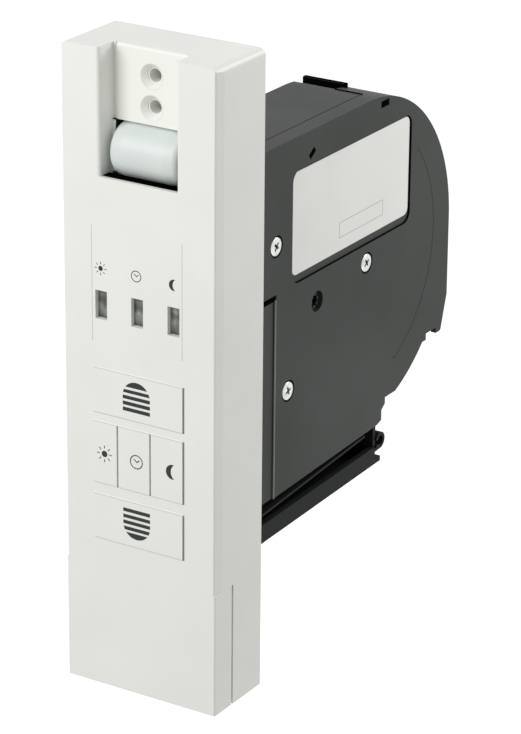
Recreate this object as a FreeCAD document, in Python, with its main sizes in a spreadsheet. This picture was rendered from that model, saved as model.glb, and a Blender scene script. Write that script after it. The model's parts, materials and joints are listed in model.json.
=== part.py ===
import FreeCAD, Part
import Sketcher
import math
import os
import re

# Electric belt winder: a slim white plate on the wall and a flat dark case behind it in the wall.
# X runs across the plate, +Y goes into the wall and Z is up. The origin is the centre of the
# wall screws on the wall's surface.

SIZES = {
    # Front plate
    "plate_width": 57.0,
    "plate_depth": 27.5,
    "plate_top": 101.5,
    "plate_bottom": -114.2,
    "plate_wall": 2.2,
    "plate_edge_radius": 0.6,
    "plate_corner_radius": 2.4,
    "plate_taper": 0.4,
    "plate_taper_depth": 4.4,
    # Sliding cover over the lower wall screws
    "lower_cover_top": -71.6,
    "lower_cover_depth": 10.0,
    "side_seam": 0.9,
    "tongue_drop": 4.0,
    "tongue_width": 1.5,
    "tongue_length": 4.0,
    "tongue_height": 32.0,
    "tongue_gap": 0.2,
    # Belt recess at the top of the plate
    "recess_width": 28.2,
    "recess_floor": -19.5,
    "recess_bottom": 60.2,
    "recess_wall": 1.6,
    "recess_edge_radius": 1.2,
    "recess_tail": 3.0,
    "recess_gap": 0.4,
    "roller_space_width": 26.0,
    "block_width": 26.0,
    "top_seam_gap": 0.1,
    "block_bottom": 76.9,
    "block_edge_radius": 1.0,
    "block_step": 0.2,
    "block_wall": 2.0,
    # Wall screws, two above and two below
    "screw_spacing": 185.0,
    "screw_pair_pitch": 10.0,
    "screw_hole_radius": 2.2,
    "screw_head_radius": 4.1,
    "screw_head_depth": 2.0,
    "screw_boss_radius": 5.2,
    # Keypad and indicators, seen from the front
    "field_centre": -0.5,
    "keypad_width": 34.0,
    "key_gap": 0.6,
    "key_clearance": 0.1,
    "key_proud": 0.5,
    "key_face": 1.6,
    "key_wall": 1.2,
    "key_flange": 1.2,
    "key_flange_gap": 0.3,
    "key_travel": 0.8,
    "key_post_radius": 2.2,
    "up_key_top": -3.1,
    "up_key_height": 15.0,
    "middle_key_top": -21.4,
    "middle_key_height": 20.9,
    "sun_key_width": 9.2,
    "clock_key_width": 11.8,
    "down_key_top": -46.5,
    "down_key_height": 15.2,
    "lamp_pitch": 13.5,
    "lamp_width": 4.4,
    "lamp_height": 9.5,
    "lamp_bottom": 13.4,
    "lamp_recess": 1.6,
    "groove_spacing": 33.6,
    "groove_width": 0.4,
    "groove_depth": 0.3,
    "groove_bottom": 6.0,
    "groove_top": 44.0,
    # Chassis that the wall screws hold
    "panel_thickness": 2.2,
    "cover_clearance": 0.3,
    "cheek_thickness": 2.4,
    "cheek_front": -20.0,
    "cheek_top": 76.7,
    "bracket_bar": 1.8,
    "bracket_bar_front": -9.0,
    "lower_block_height": 21.0,
    "lower_block_margin": 5.5,
    "board_post_radius": 3.0,
    "board_post_spacing": 39.0,
    "board_post_top": 42.0,
    "board_post_bottom": -62.0,
    "cable_hole_width": 24.0,
    # Deflection roller
    "roller_y": -16.8,
    "roller_z": 67.7,
    "roller_radius": 9.1,
    "roller_end_radius": 8.5,
    "roller_end_round": 1.8,
    "roller_relief": 0.6,
    "roller_length": 24.6,
    "roller_crown_length": 16.0,
    "roller_pin_radius": 1.5,
    "running_gap": 0.05,
    # Case in the wall, two shells that meet beside the middle
    "case_width": 33.4,
    "case_wall": 2.0,
    "drum_y": 84.8,
    "drum_z": 4.2,
    "drum_radius": 56.7,
    "drum_low_rise": 1.3,
    "nose_proud": 0.4,
    "nose_bend": -24.5,
    "nose_tip_y": 138.0,
    "nose_tip_z": -37.2,
    "nose_inner": 134.7,
    "nose_ledge": -35.1,
    "drum_lug_y": 127.6,
    "drum_low_start": -37.5,
    "drum_low_end": -49.6,
    "heel_y": 99.5,
    "heel_z": -51.9,
    "heel_foot_y": 97.2,
    "heel_foot_top": -53.6,
    "heel_foot_bottom": -57.3,
    "floor_rear_y": 94.3,
    "floor_rear_z": -58.2,
    "floor_front_z": -61.6,
    "front_seam": 10.4,
    "drum_seam": 0.0,
    "seam_y": 90.4,
    "seam_groove": 0.4,
    "seam_end_angle": -5.0,
    "hook_slot_start": 91.2,
    "hook_slot_end": 97.0,
    "hook_slot_right": -0.7,
    "hook_slot_floor": 56.6,
    "hook_wall": 1.6,
    "side_step_y": 27.0,
    "side_step_z": 10.8,
    "side_step_depth": 0.6,
    "side_groove_height": 1.7,
    "side_groove_depth": 1.4,
    "service_hole_y": 52.6,
    "service_hole_z": 0.6,
    "service_hole_radius": 3.6,
    "window_y": 92.2,
    "window_length": 5.4,
    "window_z": 56.4,
    "window_height": 2.4,
    "slant_slot_y": 48.2,
    "slant_slot_z": 52.9,
    "slant_slot_length": 4.0,
    "slant_slot_width": 2.1,
    "slant_slot_angle": 34.5,
    # Label and its field
    "label_y": 36.5,
    "label_z": 13.8,
    "label_length": 75.8,
    "label_height": 35.1,
    "label_thickness": 0.2,
    "label_radius": 2.6,
    "label_field_margin": 1.2,
    "label_field_below": 3.0,
    "label_field_depth": 0.5,
    "label_field_radius": 4.0,
    # Case screws
    "case_screw_head_radius": 3.5,
    "case_screw_head_height": 1.1,
    "case_screw_sink": 0.9,
    "case_screw_radius": 1.5,
    "case_screw_length": 12.0,
    "case_screw_ring": 0.3,
    "cross_recess_depth": 0.7,
    "cross_recess_length": 3.4,
    "cross_recess_width": 0.7,
    "front_screw_y": 26.8,
    "front_screw_z": 27.2,
    "low_screw_y": 35.0,
    "low_screw_z": -25.3,
    "post_radius": 3.4,
    # Shallow arc moulded into the case's side behind the reel
    "arc_radius": 45.2,
    "arc_width": 1.4,
    "arc_depth": 0.3,
    "arc_start": -64.0,
    "arc_end": 43.5,
    # Cable channel under the case
    "channel_front_z": -74.8,
    "channel_rear_z": -72.4,
    "channel_lip_front": -68.3,
    "channel_lip_rear": -66.0,
    "channel_length": 97.0,
    "channel_floor": 1.8,
    "shelf_front_z": -66.0,
    "shelf_rear_z": -59.9,
    "shelf_length": 87.5,
    "shelf_thickness": 0.8,
    "hook_y": 96.9,
    "hook_z": -64.8,
    "hook_radius": 3.0,
    "hook_thickness": 1.2,
    "hook_mouth_height": 3.4,
    "hook_foot_drop": 3.2,
    "hook_foot_height": 1.3,
    "channel_lip_edge": 0.9,
    "channel_web": 1.7,
    "notch_depth": 3.8,
    "notch_height": 2.4,
    # Belt reel
    "tooth_module": 1.0,
    "ring_teeth": 102,
    "drive_teeth": 32,
    "wheel_teeth": 26,
    "tooth_backlash": 0.3,
    "reel_rim_gap": 3.1,
    "reel_core_radius": 16.0,
    "reel_core_wall": 3.0,
    "reel_hub_radius": 8.5,
    "reel_web": 2.5,
    "reel_left_flange": 1.5,
    "ring_thickness": 2.2,
    "belt_space": 24.4,
    "reel_end_gap": 0.8,
    "reel_hole_radius": 3.2,
    "reel_holes": 6,
    "axle_radius": 5.0,
    "axle_bore_radius": 1.5,
    "hook_plate_width": 18.0,
    "hook_plate_length": 9.0,
    "hook_plate_thickness": 1.0,
    "hook_recess_depth": 1.2,
    "hook_claw_reach": 5.0,
    "hook_claw_height": 3.4,
    "hook_claw_stem": 1.0,
    "hook_claw_thickness": 0.8,
    # Drive gear on its pin
    "gear_angle": 190.0,
    "gear_pin_radius": 2.5,
    "gear_hub_radius": 6.0,
    "wheel_thickness": 7.0,
    "drive_thickness": 2.7,
    # Worm and motor
    "worm_radius": 5.0,
    "worm_length": 15.7,
    "worm_thread": 1.05,
    "motor_radius": 13.3,
    "motor_length": 32.0,
    "motor_top_drop": 16.6,
    "motor_boss_radius": 5.0,
    "motor_boss_height": 2.0,
    "motor_shaft_radius": 1.5,
    "shaft_top": 16.4,
    "end_cap_radius": 11.0,
    "end_cap_height": 2.4,
    "terminal_tab": 2.8,
    "terminal_tab_width": 2.4,
    "terminal_tab_thickness": 0.6,
    "terminal_tab_x": 4.0,
    "terminal_tab_y": 6.0,
    "bracket_thickness": 1.5,
    "bracket_half_width": 9.0,
    "bracket_ear_width": 6.5,
    "bracket_ear_height": 10.0,
    "bracket_overhang": 2.0,
    "bracket_tongue": 8.0,
    "bracket_hole_drop": 3.5,
    "bracket_play": 2.2,
    "bush_radius": 4.0,
    "bush_height": 3.0,
    "magnet_radius": 4.0,
    "magnet_height": 3.0,
    # Control board behind the keys
    "board_thickness": 1.6,
    "board_face": -18.5,
    "board_width": 46.0,
    "board_top": 47.0,
    "board_bottom": -67.0,
    "switch_size": 6.0,
    "switch_height": 3.5,
    "plunger_radius": 1.6,
    "plunger_gap": 0.1,
    "plunger_length": 2.3,
    "led_size": 3.0,
    "led_height": 1.4,
    "chip_size": 10.0,
    "chip_height": 1.8,
    "board_screw_radius": 1.3,
    "board_screw_head": 2.7,
    "board_screw_head_height": 1.7,
    "board_screw_length": 8.0,
    # Power board at the left wall of the case
    "power_board_length": 33.0,
    "power_board_height": 34.0,
    "power_board_y": -12.0,
    "power_board_z": 13.0,
    "power_board_standoff": 0.8,
    "transformer_length": 16.0,
    "transformer_width": 17.0,
    "transformer_height": 18.0,
    "relay_length": 10.0,
    "relay_width": 15.0,
    "relay_height": 14.0,
    "capacitor_radius": 5.0,
    "capacitor_length": 18.0,
    "board_part_margin": 2.0,
    "capacitor_inset": 8.0,
    # Mains terminal block
    "terminal_gap": 2.3,
    "terminal_depth": 10.0,
    "terminal_height": 18.0,
    "terminal_hole_radius": 1.7,
    "terminal_clearance": 1.0,
    "terminal_bore": 6.0,
}

doc = FreeCAD.newDocument("belt_winder")
sheet = doc.addObject("Spreadsheet::Sheet", "Sizes")
for row, (alias, number) in enumerate(SIZES.items(), start=1):
    sheet.set(f"A{row}", alias)
    sheet.set(f"B{row}", str(number))
    sheet.setAlias(f"B{row}", alias)
doc.recompute()

nodes = []
VECTOR = FreeCAD.Vector
AXES = {"X": VECTOR(1, 0, 0), "Y": VECTOR(0, 1, 0), "Z": VECTOR(0, 0, 1)}
# Turns a sketch so that its own axes are the two named ones.
SKETCH_TURNS = {
    "X": FreeCAD.Rotation(VECTOR(1, 1, 1), 120),
    "Y": FreeCAD.Rotation(VECTOR(1, 0, 0), 90),
    "Z": FreeCAD.Rotation(),
}
CYLINDER_TURNS = {
    "X": FreeCAD.Rotation(VECTOR(0, 1, 0), 90),
    "Y": FreeCAD.Rotation(VECTOR(1, 0, 0), -90),
    "Z": FreeCAD.Rotation(),
}


def size(name):
    """The number in one cell of the sheet."""
    return float(sheet.get(name))


def bound(text):
    """An expression with the sheet's name put before each of its cells."""
    return re.sub(r"[a-z_]+", lambda m: "Sizes." + m.group() if m.group() in SIZES else m.group(), str(text))


def number(text):
    """The value of an expression now, for the few shapes that are worked out point by point."""
    words = {name: size(name) for name in SIZES if name in text}
    total = sheet.evalExpression(bound(text)) if words else float(text)
    return float(total)


def named(thing, label):
    """Marks a finished sub-part, whose label names its file."""
    thing.Label = label
    nodes.append(thing)
    return thing


def place(thing, x, y, z):
    """Binds the three parts of an object's position."""
    for letter, text in zip("xyz", (x, y, z)):
        thing.setExpression(f"Placement.Base.{letter}", bound(text))
    return thing


def box(label, x, y, z):
    """A box between two bound planes on each axis."""
    solid = doc.addObject("Part::Box", label)
    for side, (low, high) in zip(("Length", "Width", "Height"), (x, y, z)):
        solid.setExpression(side, bound(f"({high}) - ({low})"))
    return place(solid, x[0], y[0], z[0])


def cylinder(label, axis, radius, low, high, first, second):
    """A cylinder along an axis from low to high. The other two axes give first and second."""
    solid = doc.addObject("Part::Cylinder", label)
    solid.Placement = FreeCAD.Placement(VECTOR(), CYLINDER_TURNS[axis])
    solid.setExpression("Radius", bound(radius))
    solid.setExpression("Height", bound(f"({high}) - ({low})"))
    spot = {"X": (low, first, second), "Y": (first, low, second), "Z": (first, second, low)}[axis]
    return place(solid, *spot)


def join(label, *parts):
    """One solid of several that touch."""
    whole = doc.addObject("Part::MultiFuse", label)
    whole.Shapes = list(parts)
    whole.Refine = True
    return whole


def group(label, *parts):
    """Separate solids in one sub-part."""
    whole = doc.addObject("Part::Compound", label)
    whole.Links = list(parts)
    return whole


def cut(label, base, *tools):
    """The base without the tools."""
    whole = doc.addObject("Part::Cut", label)
    whole.Base = base
    whole.Tool = tools[0] if len(tools) == 1 else join(label + "_tools", *tools)
    whole.Refine = True
    return whole


def edges_through(points):
    """Lines and arcs through the points of a closed outline. A point is (u, v), or (u, v, radius)
    for a rounded corner, or (u, v, mid_u, mid_v) for an arc that arrives there through the middle."""
    corners = [VECTOR(p[0], p[1], 0) for p in points]
    count = len(points)
    trims = []
    for i, point in enumerate(points):
        if len(point) != 3:
            trims.append((corners[i], corners[i], None))
            continue
        back = (corners[i - 1] - corners[i]).normalize()
        ahead = (corners[(i + 1) % count] - corners[i]).normalize()
        half = back.getAngle(ahead) / 2
        reach = point[2] / math.tan(half)
        centre = corners[i] + (back + ahead).normalize() * (point[2] / math.sin(half))
        middle = centre + (corners[i] - centre).normalize() * point[2]
        trims.append((corners[i] + back * reach, corners[i] + ahead * reach, middle))
    edges = []
    for i, point in enumerate(points):
        start = trims[i - 1][1]
        end, leave, middle = trims[i]
        if len(point) == 4:
            edges.append(Part.Arc(start, VECTOR(point[2], point[3], 0), end))
        elif start.distanceToPoint(end) > 1e-6:
            edges.append(Part.LineSegment(start, end))
        if middle is not None:
            edges.append(Part.Arc(end, middle, leave))
    return edges


def prism(label, axis, low, high, points):
    """A sketched outline drawn out along an axis, from low to high."""
    sketch = doc.addObject("Sketcher::SketchObject", label + "_sketch")
    sketch.Placement = FreeCAD.Placement(VECTOR(), SKETCH_TURNS[axis])
    sketch.addGeometry(edges_through(points), False)
    sketch.setExpression(f"Placement.Base.{axis.lower()}", bound(low))
    solid = doc.addObject("Part::Extrusion", label)
    solid.Base = sketch
    solid.DirMode = "Custom"
    solid.Dir = AXES[axis]
    solid.Solid = True
    solid.setExpression("LengthFwd", bound(f"({high}) - ({low})"))
    return solid


def turned(label, axis, profile, first, second):
    """A body of revolution about an axis. The profile is (along, radius) points, and the axis runs
    through first and second on the other two axes."""
    body = doc.addObject("PartDesign::Body", label)
    sketch = body.newObject("Sketcher::SketchObject", label + "_profile")
    plane = next(item for item in body.Origin.OriginFeatures if item.Role == "XZ_Plane")
    sketch.AttachmentSupport = [(plane, "")]
    sketch.MapMode = "FlatFace"
    sketch.addGeometry(edges_through([(p[1], p[0], *p[2:]) for p in profile]), False)
    doc.recompute()
    feature = body.newObject("PartDesign::Revolution", label + "_turning")
    feature.Profile = sketch
    feature.ReferenceAxis = (sketch, ["V_Axis"])
    feature.Angle = 360
    body.Placement = FreeCAD.Placement(VECTOR(), CYLINDER_TURNS[axis])
    spot = {"X": (0, first, second), "Y": (first, 0, second), "Z": (first, second, 0)}[axis]
    return place(body, *spot)


def gear_face(teeth, bore, phase):
    """A flat gear with straight-sided teeth, about the origin. A tooth points at the phase angle."""
    module = size("tooth_module")
    pitch_radius = module * teeth / 2
    thickness = math.pi * module / 2 - size("tooth_backlash")
    slope = math.tan(math.radians(20))
    rims = ((-1.2, thickness + 2.4 * slope * 0.8), (0.0, thickness), (0.95, thickness - 1.9 * slope))
    points = []
    for tooth in range(teeth):
        centre = math.radians(phase) + 2 * math.pi * tooth / teeth
        for side, order in ((-1, rims), (1, rims[::-1])):
            for rise, width in order:
                radius = pitch_radius + rise * module
                angle = centre + side * width * module / 2 / radius
                points.append(VECTOR(radius * math.cos(angle), radius * math.sin(angle), 0))
    outline = Part.makePolygon(points + [points[0]])
    face = Part.Face(outline)
    if bore:
        face = face.cut(Part.Face(Part.Wire(Part.makeCircle(bore))))
    return face


def gear_disc(label, teeth, bore, phase, low, high, y, z):
    """A gear on the X axis."""
    part = doc.addObject("Part::Feature", label)
    face = gear_face(teeth, bore, phase)
    part.Shape = face.extrude(VECTOR(0, 0, high - low))
    part.Placement = FreeCAD.Placement(VECTOR(low, y, z), FreeCAD.Rotation(VECTOR(1, 1, 1), 120))
    return part


# Planes that several sub-parts share
HALF_PLATE = "plate_width / 2"
INNER_HALF = "plate_width / 2 - plate_wall"
FACE_BACK = "-plate_depth + plate_wall"
SKIRT = "-plate_depth + lower_cover_depth"
CASE_TOP = "(drum_z + drum_radius)"
NOSE_BACK = "drum_y + drum_radius + nose_proud"
HALF_CASE = "case_width / 2"
CASE_INSIDE = "case_width / 2 - case_wall"
CASE_TOP_INSIDE = f"{CASE_TOP} - case_wall"
LEFT_END = "-belt_space / 2 - reel_left_flange"
RING_FRONT = "belt_space / 2 - 0.2"


def outline_of_case(inset):
    """The case seen from the side, or its hollow when inset by the wall."""
    radius = size("drum_radius") - inset
    low_radius = radius + size("drum_low_rise")
    y0, z0 = size("drum_y"), size("drum_z")
    floor_front = size("floor_front_z") + inset
    floor_rear = size("floor_rear_z") + inset
    low_start = size("drum_low_start")
    low_end = size("drum_low_end") + inset
    top = z0 + radius

    def on_low_arc(z):
        return y0 + math.sqrt(low_radius ** 2 - (z - z0) ** 2)

    middle = (on_low_arc((low_start + low_end) / 2), (low_start + low_end) / 2)
    start = -1.0 if inset else 0.0
    points = [(start, top), (y0 + radius, top, radius - 0.001)]
    if inset:
        meet = z0 - math.sqrt(low_radius ** 2 - radius ** 2)
        middle_angle = math.radians(-25)
        points += [(y0 + radius, meet)]
        points += [(on_low_arc(low_start), low_start, y0 + low_radius * math.cos(middle_angle),
                    z0 + low_radius * math.sin(middle_angle))]
    else:
        points += [
            (number(NOSE_BACK), size("nose_bend")),
            (size("nose_tip_y"), size("nose_tip_z"), 1.0),
            (size("nose_inner"), size("nose_tip_z")),
            (size("nose_inner"), size("nose_ledge")),
            (size("drum_lug_y"), size("nose_ledge")),
            (size("drum_lug_y"), low_start),
            (on_low_arc(low_start), low_start),
        ]
    points += [(on_low_arc(low_end), low_end, *middle)]
    if inset:
        points += [(size("heel_foot_y") - inset, low_end)]
        points += [(size("floor_rear_y") - inset, floor_rear)]
    else:
        points += [
            (size("heel_y"), low_end),
            (size("heel_y"), size("heel_z")),
            (size("heel_foot_y"), size("heel_foot_top")),
            (size("heel_foot_y"), size("heel_foot_bottom")),
            (size("floor_rear_y"), size("floor_rear_z")),
        ]
    points += [(start, floor_front)]
    return points


# Front cover

edge = size("plate_edge_radius")
half = size("plate_width") / 2
depth = size("plate_depth")
taper = size("plate_taper")
taper_start = size("plate_taper_depth") - depth
cover_block = prism("cover_block", "Z", "lower_cover_top", "plate_top", [
    (-half, 0), (-half, taper_start), (taper - half, -depth, edge), (half - taper, -depth, edge),
    (half, taper_start), (half, 0)])
skirt_block = box("skirt_block", (f"-{HALF_PLATE}", HALF_PLATE), (f"{SKIRT} + side_seam", "0"),
                  ("plate_bottom", "lower_cover_top"))
cover_hollow = box("cover_hollow", (f"-({INNER_HALF})", INNER_HALF), (FACE_BACK, "1"),
                   ("plate_bottom + plate_wall", "plate_top - plate_wall"))
CORNER_X = f"{HALF_PLATE} - plate_corner_radius"
CORNER_Z = "plate_top - plate_corner_radius"
corner_cuts = []
for side, low, high, middle in (("left", f"-({HALF_PLATE}) - 1", f"-({CORNER_X})", f"-({CORNER_X})"),
                                ("right", CORNER_X, f"{HALF_PLATE} + 1", CORNER_X)):
    corner_block = box(f"corner_block_{side}", (low, high), ("-plate_depth - 1", "1"),
                       (CORNER_Z, "plate_top + 1"))
    corner_round = cylinder(f"corner_round_{side}", "Y", "plate_corner_radius", "-plate_depth - 1", "1",
                            middle, CORNER_Z)
    corner_cuts.append(cut(f"corner_cut_{side}", corner_block, corner_round))
cover_shell = cut("cover_shell", join("cover_solid", cover_block, skirt_block), cover_hollow, *corner_cuts)
recess_sides = [
    box(f"recess_side_{side}", (low, high), ("-plate_depth + 1", "cheek_front - recess_gap / 2"),
        ("recess_bottom - plate_wall", "plate_top - plate_wall"))
    for side, low, high in (("left", "-recess_width / 2 - recess_wall", "-recess_width / 2"),
                            ("right", "recess_width / 2", "recess_width / 2 + recess_wall"))
]
recess_tails = [
    box(f"recess_tail_{side}", (low, high), ("cheek_front - 1", "recess_floor + recess_tail"),
        ("cheek_top + recess_gap", "plate_top - plate_wall"))
    for side, low, high in (("left", "-recess_width / 2 - recess_wall", "-recess_width / 2"),
                            ("right", "recess_width / 2", "recess_width / 2 + recess_wall"))
]
bend = size("recess_edge_radius")
inner = size("recess_width") / 2
arc_reach = bend * (1 - math.sqrt(0.5))
recess_cutter = prism("recess_cutter", "Z", "recess_bottom", "plate_top + 1", [
    (-inner - bend, -depth - 1),
    (-inner - bend, -depth),
    (-inner, -depth + bend, -inner - arc_reach, -depth + arc_reach),
    (-inner, size("recess_floor")),
    (inner, size("recess_floor")),
    (inner, -depth + bend),
    (inner + bend, -depth, inner + arc_reach, -depth + arc_reach),
    (inner + bend, -depth - 1),
])
BLOCK_STEP = "recess_floor + block_edge_radius + block_step"
top_notch = box("top_notch", ("-block_width / 2 - recess_gap / 2", "block_width / 2 + recess_gap / 2"),
                ("-plate_depth", f"{BLOCK_STEP} + top_seam_gap"),
                ("plate_top - plate_wall - 1", "plate_top + 1"))


def key_window(label, left, right, top, height):
    """The hole in the cover's face that a key, or a row of keys, fits."""
    return box(label, (f"{left} - key_clearance", f"{right} + key_clearance"),
               ("-plate_depth - 1", f"{FACE_BACK} + 1"),
               (f"{top} - {height} - key_clearance", f"{top} + key_clearance"))


KEYPAD_LEFT = "field_centre - keypad_width / 2"
KEYPAD_RIGHT = "field_centre + keypad_width / 2"
windows = [
    key_window("up_window", KEYPAD_LEFT, KEYPAD_RIGHT, "up_key_top", "up_key_height"),
    key_window("middle_window", KEYPAD_LEFT, KEYPAD_RIGHT, "middle_key_top", "middle_key_height"),
    key_window("down_window", KEYPAD_LEFT, KEYPAD_RIGHT, "down_key_top", "down_key_height"),
]
LAMPS = (("sun", "field_centre - lamp_pitch"), ("clock", "field_centre"),
         ("moon", "field_centre + lamp_pitch"))
for name, middle in LAMPS:
    windows.append(box(f"{name}_lamp_hole", (f"{middle} - lamp_width / 2", f"{middle} + lamp_width / 2"),
                       ("-plate_depth - 1", f"{FACE_BACK} + 1"),
                       ("lamp_bottom", "lamp_bottom + lamp_height")))
grooves = [
    box(f"groove_{side}", (f"field_centre {sign} groove_spacing / 2 - groove_width / 2",
                           f"field_centre {sign} groove_spacing / 2 + groove_width / 2"),
        ("-plate_depth - 1", "-plate_depth + groove_depth"), ("groove_bottom", "groove_top"))
    for side, sign in (("left", "-"), ("right", "+"))
]
TONGUE_OUTER = f"{INNER_HALF} - tongue_gap"
tongue_slots = [
    box(f"tongue_slot_{side}", (low, high),
        (f"{SKIRT} - 1", f"{SKIRT} + side_seam + tongue_length + tongue_gap"),
        ("plate_bottom - 1", "plate_bottom + plate_wall + 1"))
    for side, low, high in (
        ("left", f"-({INNER_HALF})", f"-({TONGUE_OUTER}) + tongue_width + tongue_gap"),
        ("right", f"{TONGUE_OUTER} - tongue_width - tongue_gap", INNER_HALF))
]
front_cover = cut("front_cover_shape", join("cover_with_recess", cover_shell, *recess_sides, *recess_tails),
                  recess_cutter, top_notch, *windows, *grooves, *tongue_slots)
named(front_cover, "front_cover")

# Sliding cover over the lower wall screws

lower_edge = size("lower_cover_depth") - depth
lower_block = prism("lower_block", "Z", "plate_bottom", "lower_cover_top", [
    (-half, lower_edge), (-half, -depth, edge), (half, -depth, edge), (half, lower_edge)])
lower_hollow = box("lower_hollow", (f"-({INNER_HALF})", INNER_HALF), (FACE_BACK, f"{SKIRT} + 1"),
                   ("plate_bottom + plate_wall", "lower_cover_top + 1"))
tongues = []
for side, sign, near, far in (("left", "-", f"-({INNER_HALF})", f"-({TONGUE_OUTER})"),
                              ("right", "+", INNER_HALF, TONGUE_OUTER)):
    edge_inner = f"{far} {'+' if sign == '-' else '-'} tongue_width"
    root = (near, edge_inner) if sign == "-" else (edge_inner, near)
    tail = (far, edge_inner) if sign == "-" else (edge_inner, far)
    height = ("lower_cover_top - tongue_drop - tongue_height", "lower_cover_top - tongue_drop")
    tongues.append(box(f"tongue_root_{side}", root, (f"{SKIRT} - tongue_length", SKIRT), height))
    tongues.append(box(f"tongue_tail_{side}", tail, (SKIRT, f"{SKIRT} + side_seam + tongue_length"), height))
screw_cover = join("screw_cover_shape", cut("lower_shell", lower_block, lower_hollow), *tongues)
named(screw_cover, "screw_cover")

# Chassis that the wall screws hold

panel = box("panel", (f"-({INNER_HALF}) + cover_clearance", f"{INNER_HALF} - cover_clearance"),
            ("-panel_thickness", "0"),
            ("plate_bottom + plate_wall + cover_clearance", "plate_top - plate_wall - cover_clearance"))
panel_window = box("panel_window", (f"-({CASE_INSIDE})", CASE_INSIDE), ("-panel_thickness - 1", "1"),
                   ("floor_front_z + case_wall", CASE_TOP_INSIDE))
cable_hole = box("cable_hole", ("-cable_hole_width / 2", "cable_hole_width / 2"),
                 ("-panel_thickness - 1", "1"),
                 ("channel_front_z + channel_floor", "shelf_front_z - shelf_thickness"))
block_round = size("block_edge_radius")
floor_y = size("recess_floor")
top_z = size("plate_top")
block_low = size("block_bottom")
step_y = number(BLOCK_STEP)
step_z = top_z - size("plate_wall") - size("cover_clearance")
upper_block = prism("upper_block", "X", "-block_width / 2", "block_width / 2", [
    (floor_y, block_low), (floor_y, top_z, block_round), (step_y, top_z), (step_y, step_z), (0, step_z),
    (0, block_low)])
upper_hollow = box("upper_hollow", ("-block_width / 2 + block_wall", "block_width / 2 - block_wall"),
                   ("recess_floor + block_wall + screw_head_depth", "1"),
                   ("block_bottom + block_wall", "plate_top - plate_wall - block_wall"))
LOW_BLOCK_TOP = "-screw_spacing / 2 + screw_pair_pitch + lower_block_margin"
lower_post = box("lower_post", ("-block_width / 2", "block_width / 2"), ("recess_floor", "0"),
                 (f"{LOW_BLOCK_TOP} - lower_block_height", LOW_BLOCK_TOP))
lower_post_hollow = box("lower_post_hollow",
                        ("-block_width / 2 + block_wall", "block_width / 2 - block_wall"),
                        ("recess_floor + block_wall + screw_head_depth", "1"),
                        (f"{LOW_BLOCK_TOP} - lower_block_height + block_wall",
                         f"{LOW_BLOCK_TOP} - block_wall"))
roller_space = box("roller_space", ("-roller_space_width / 2", "roller_space_width / 2"),
                   ("-plate_depth", "1"), (f"{CASE_TOP_INSIDE} - 1", "block_bottom"))
roller_relief = cylinder("roller_relief_cut", "X", "roller_radius + roller_relief",
                         "-roller_space_width / 2", "roller_space_width / 2", "roller_y", "roller_z")
SCREW_HEIGHTS = ("screw_spacing / 2", "screw_spacing / 2 - screw_pair_pitch",
                 "-screw_spacing / 2", "-screw_spacing / 2 + screw_pair_pitch")
bosses = []
screw_holes = []
for i, height in enumerate(SCREW_HEIGHTS):
    bosses.append(cylinder(f"screw_boss_{i}", "Y", "screw_boss_radius", "recess_floor + 1", "0", "0", height))
    screw_holes.append(cylinder(f"screw_hole_{i}", "Y", "screw_hole_radius", "recess_floor - 1", "1",
                                "0", height))
    screw_holes.append(cylinder(f"screw_seat_{i}", "Y", "screw_head_radius", "recess_floor - 1",
                                "recess_floor + screw_head_depth", "0", height))
board_posts = []
post_bores = []
for column, x in (("left", "-board_post_spacing / 2"), ("right", "board_post_spacing / 2")):
    for level, z in (("top", "board_post_top"), ("bottom", "board_post_bottom")):
        board_posts.append(cylinder(f"board_post_{column}_{level}", "Y", "board_post_radius",
                                    "board_face + board_thickness", "-panel_thickness / 2", x, z))
        post_bores.append(cylinder(f"post_bore_{column}_{level}", "Y", "board_screw_radius",
                                   "board_face", "board_face + board_screw_length + 1", x, z))
chassis_blocks = join(
    "chassis_blocks",
    cut("open_panel", panel, panel_window, cable_hole),
    cut("upper_frame", upper_block, upper_hollow),
    cut("lower_frame", lower_post, lower_post_hollow),
    *bosses, *board_posts)
named(cut("chassis_shape", chassis_blocks, roller_space, roller_relief, *screw_holes, *post_bores),
      "chassis")

# Bracket with two cheeks for the roller's pin

CHEEK_INSIDE = "roller_space_width / 2"
CHEEK_OUTSIDE = "roller_space_width / 2 + cheek_thickness"
cheeks = [
    box(f"cheek_{side}", (low, high), ("cheek_front", "-panel_thickness"),
        (f"{CASE_TOP_INSIDE} + cover_clearance", "cheek_top"))
    for side, low, high in (("left", f"-({CHEEK_OUTSIDE})", f"-({CHEEK_INSIDE})"),
                            ("right", CHEEK_INSIDE, CHEEK_OUTSIDE))
]
bracket_bar = box("bracket_bar_block", (f"-({CHEEK_OUTSIDE})", CHEEK_OUTSIDE),
                  ("bracket_bar_front", "-panel_thickness"), ("cheek_top - bracket_bar", "cheek_top"))
pin_bore = cylinder("pin_bore", "X", "roller_pin_radius", "-recess_width", "recess_width",
                    "roller_y", "roller_z")
named(cut("roller_bracket_shape", join("roller_bracket_blank", *cheeks, bracket_bar), pin_bore),
      "roller_bracket")

# Deflection roller and its pin

roller_half = size("roller_length") / 2
crown_half = size("roller_crown_length") / 2
bore = size("roller_pin_radius") + size("running_gap")
full = size("roller_radius")
small = size("roller_end_radius")
end_round = size("roller_end_round")
roller = turned("roller_body", "X", [
    (-roller_half, bore), (-roller_half, small, end_round), (-crown_half, full), (crown_half, full),
    (roller_half, small, end_round), (roller_half, bore)], "roller_y", "roller_z")
named(roller, "deflection_roller")
roller_pin = cylinder("roller_pin_shape", "X", "roller_pin_radius", f"-({CHEEK_OUTSIDE})", CHEEK_OUTSIDE,
                      "roller_y", "roller_z")
named(roller_pin, "roller_pin")


# Keys, each with its own plunger in a switch

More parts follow.
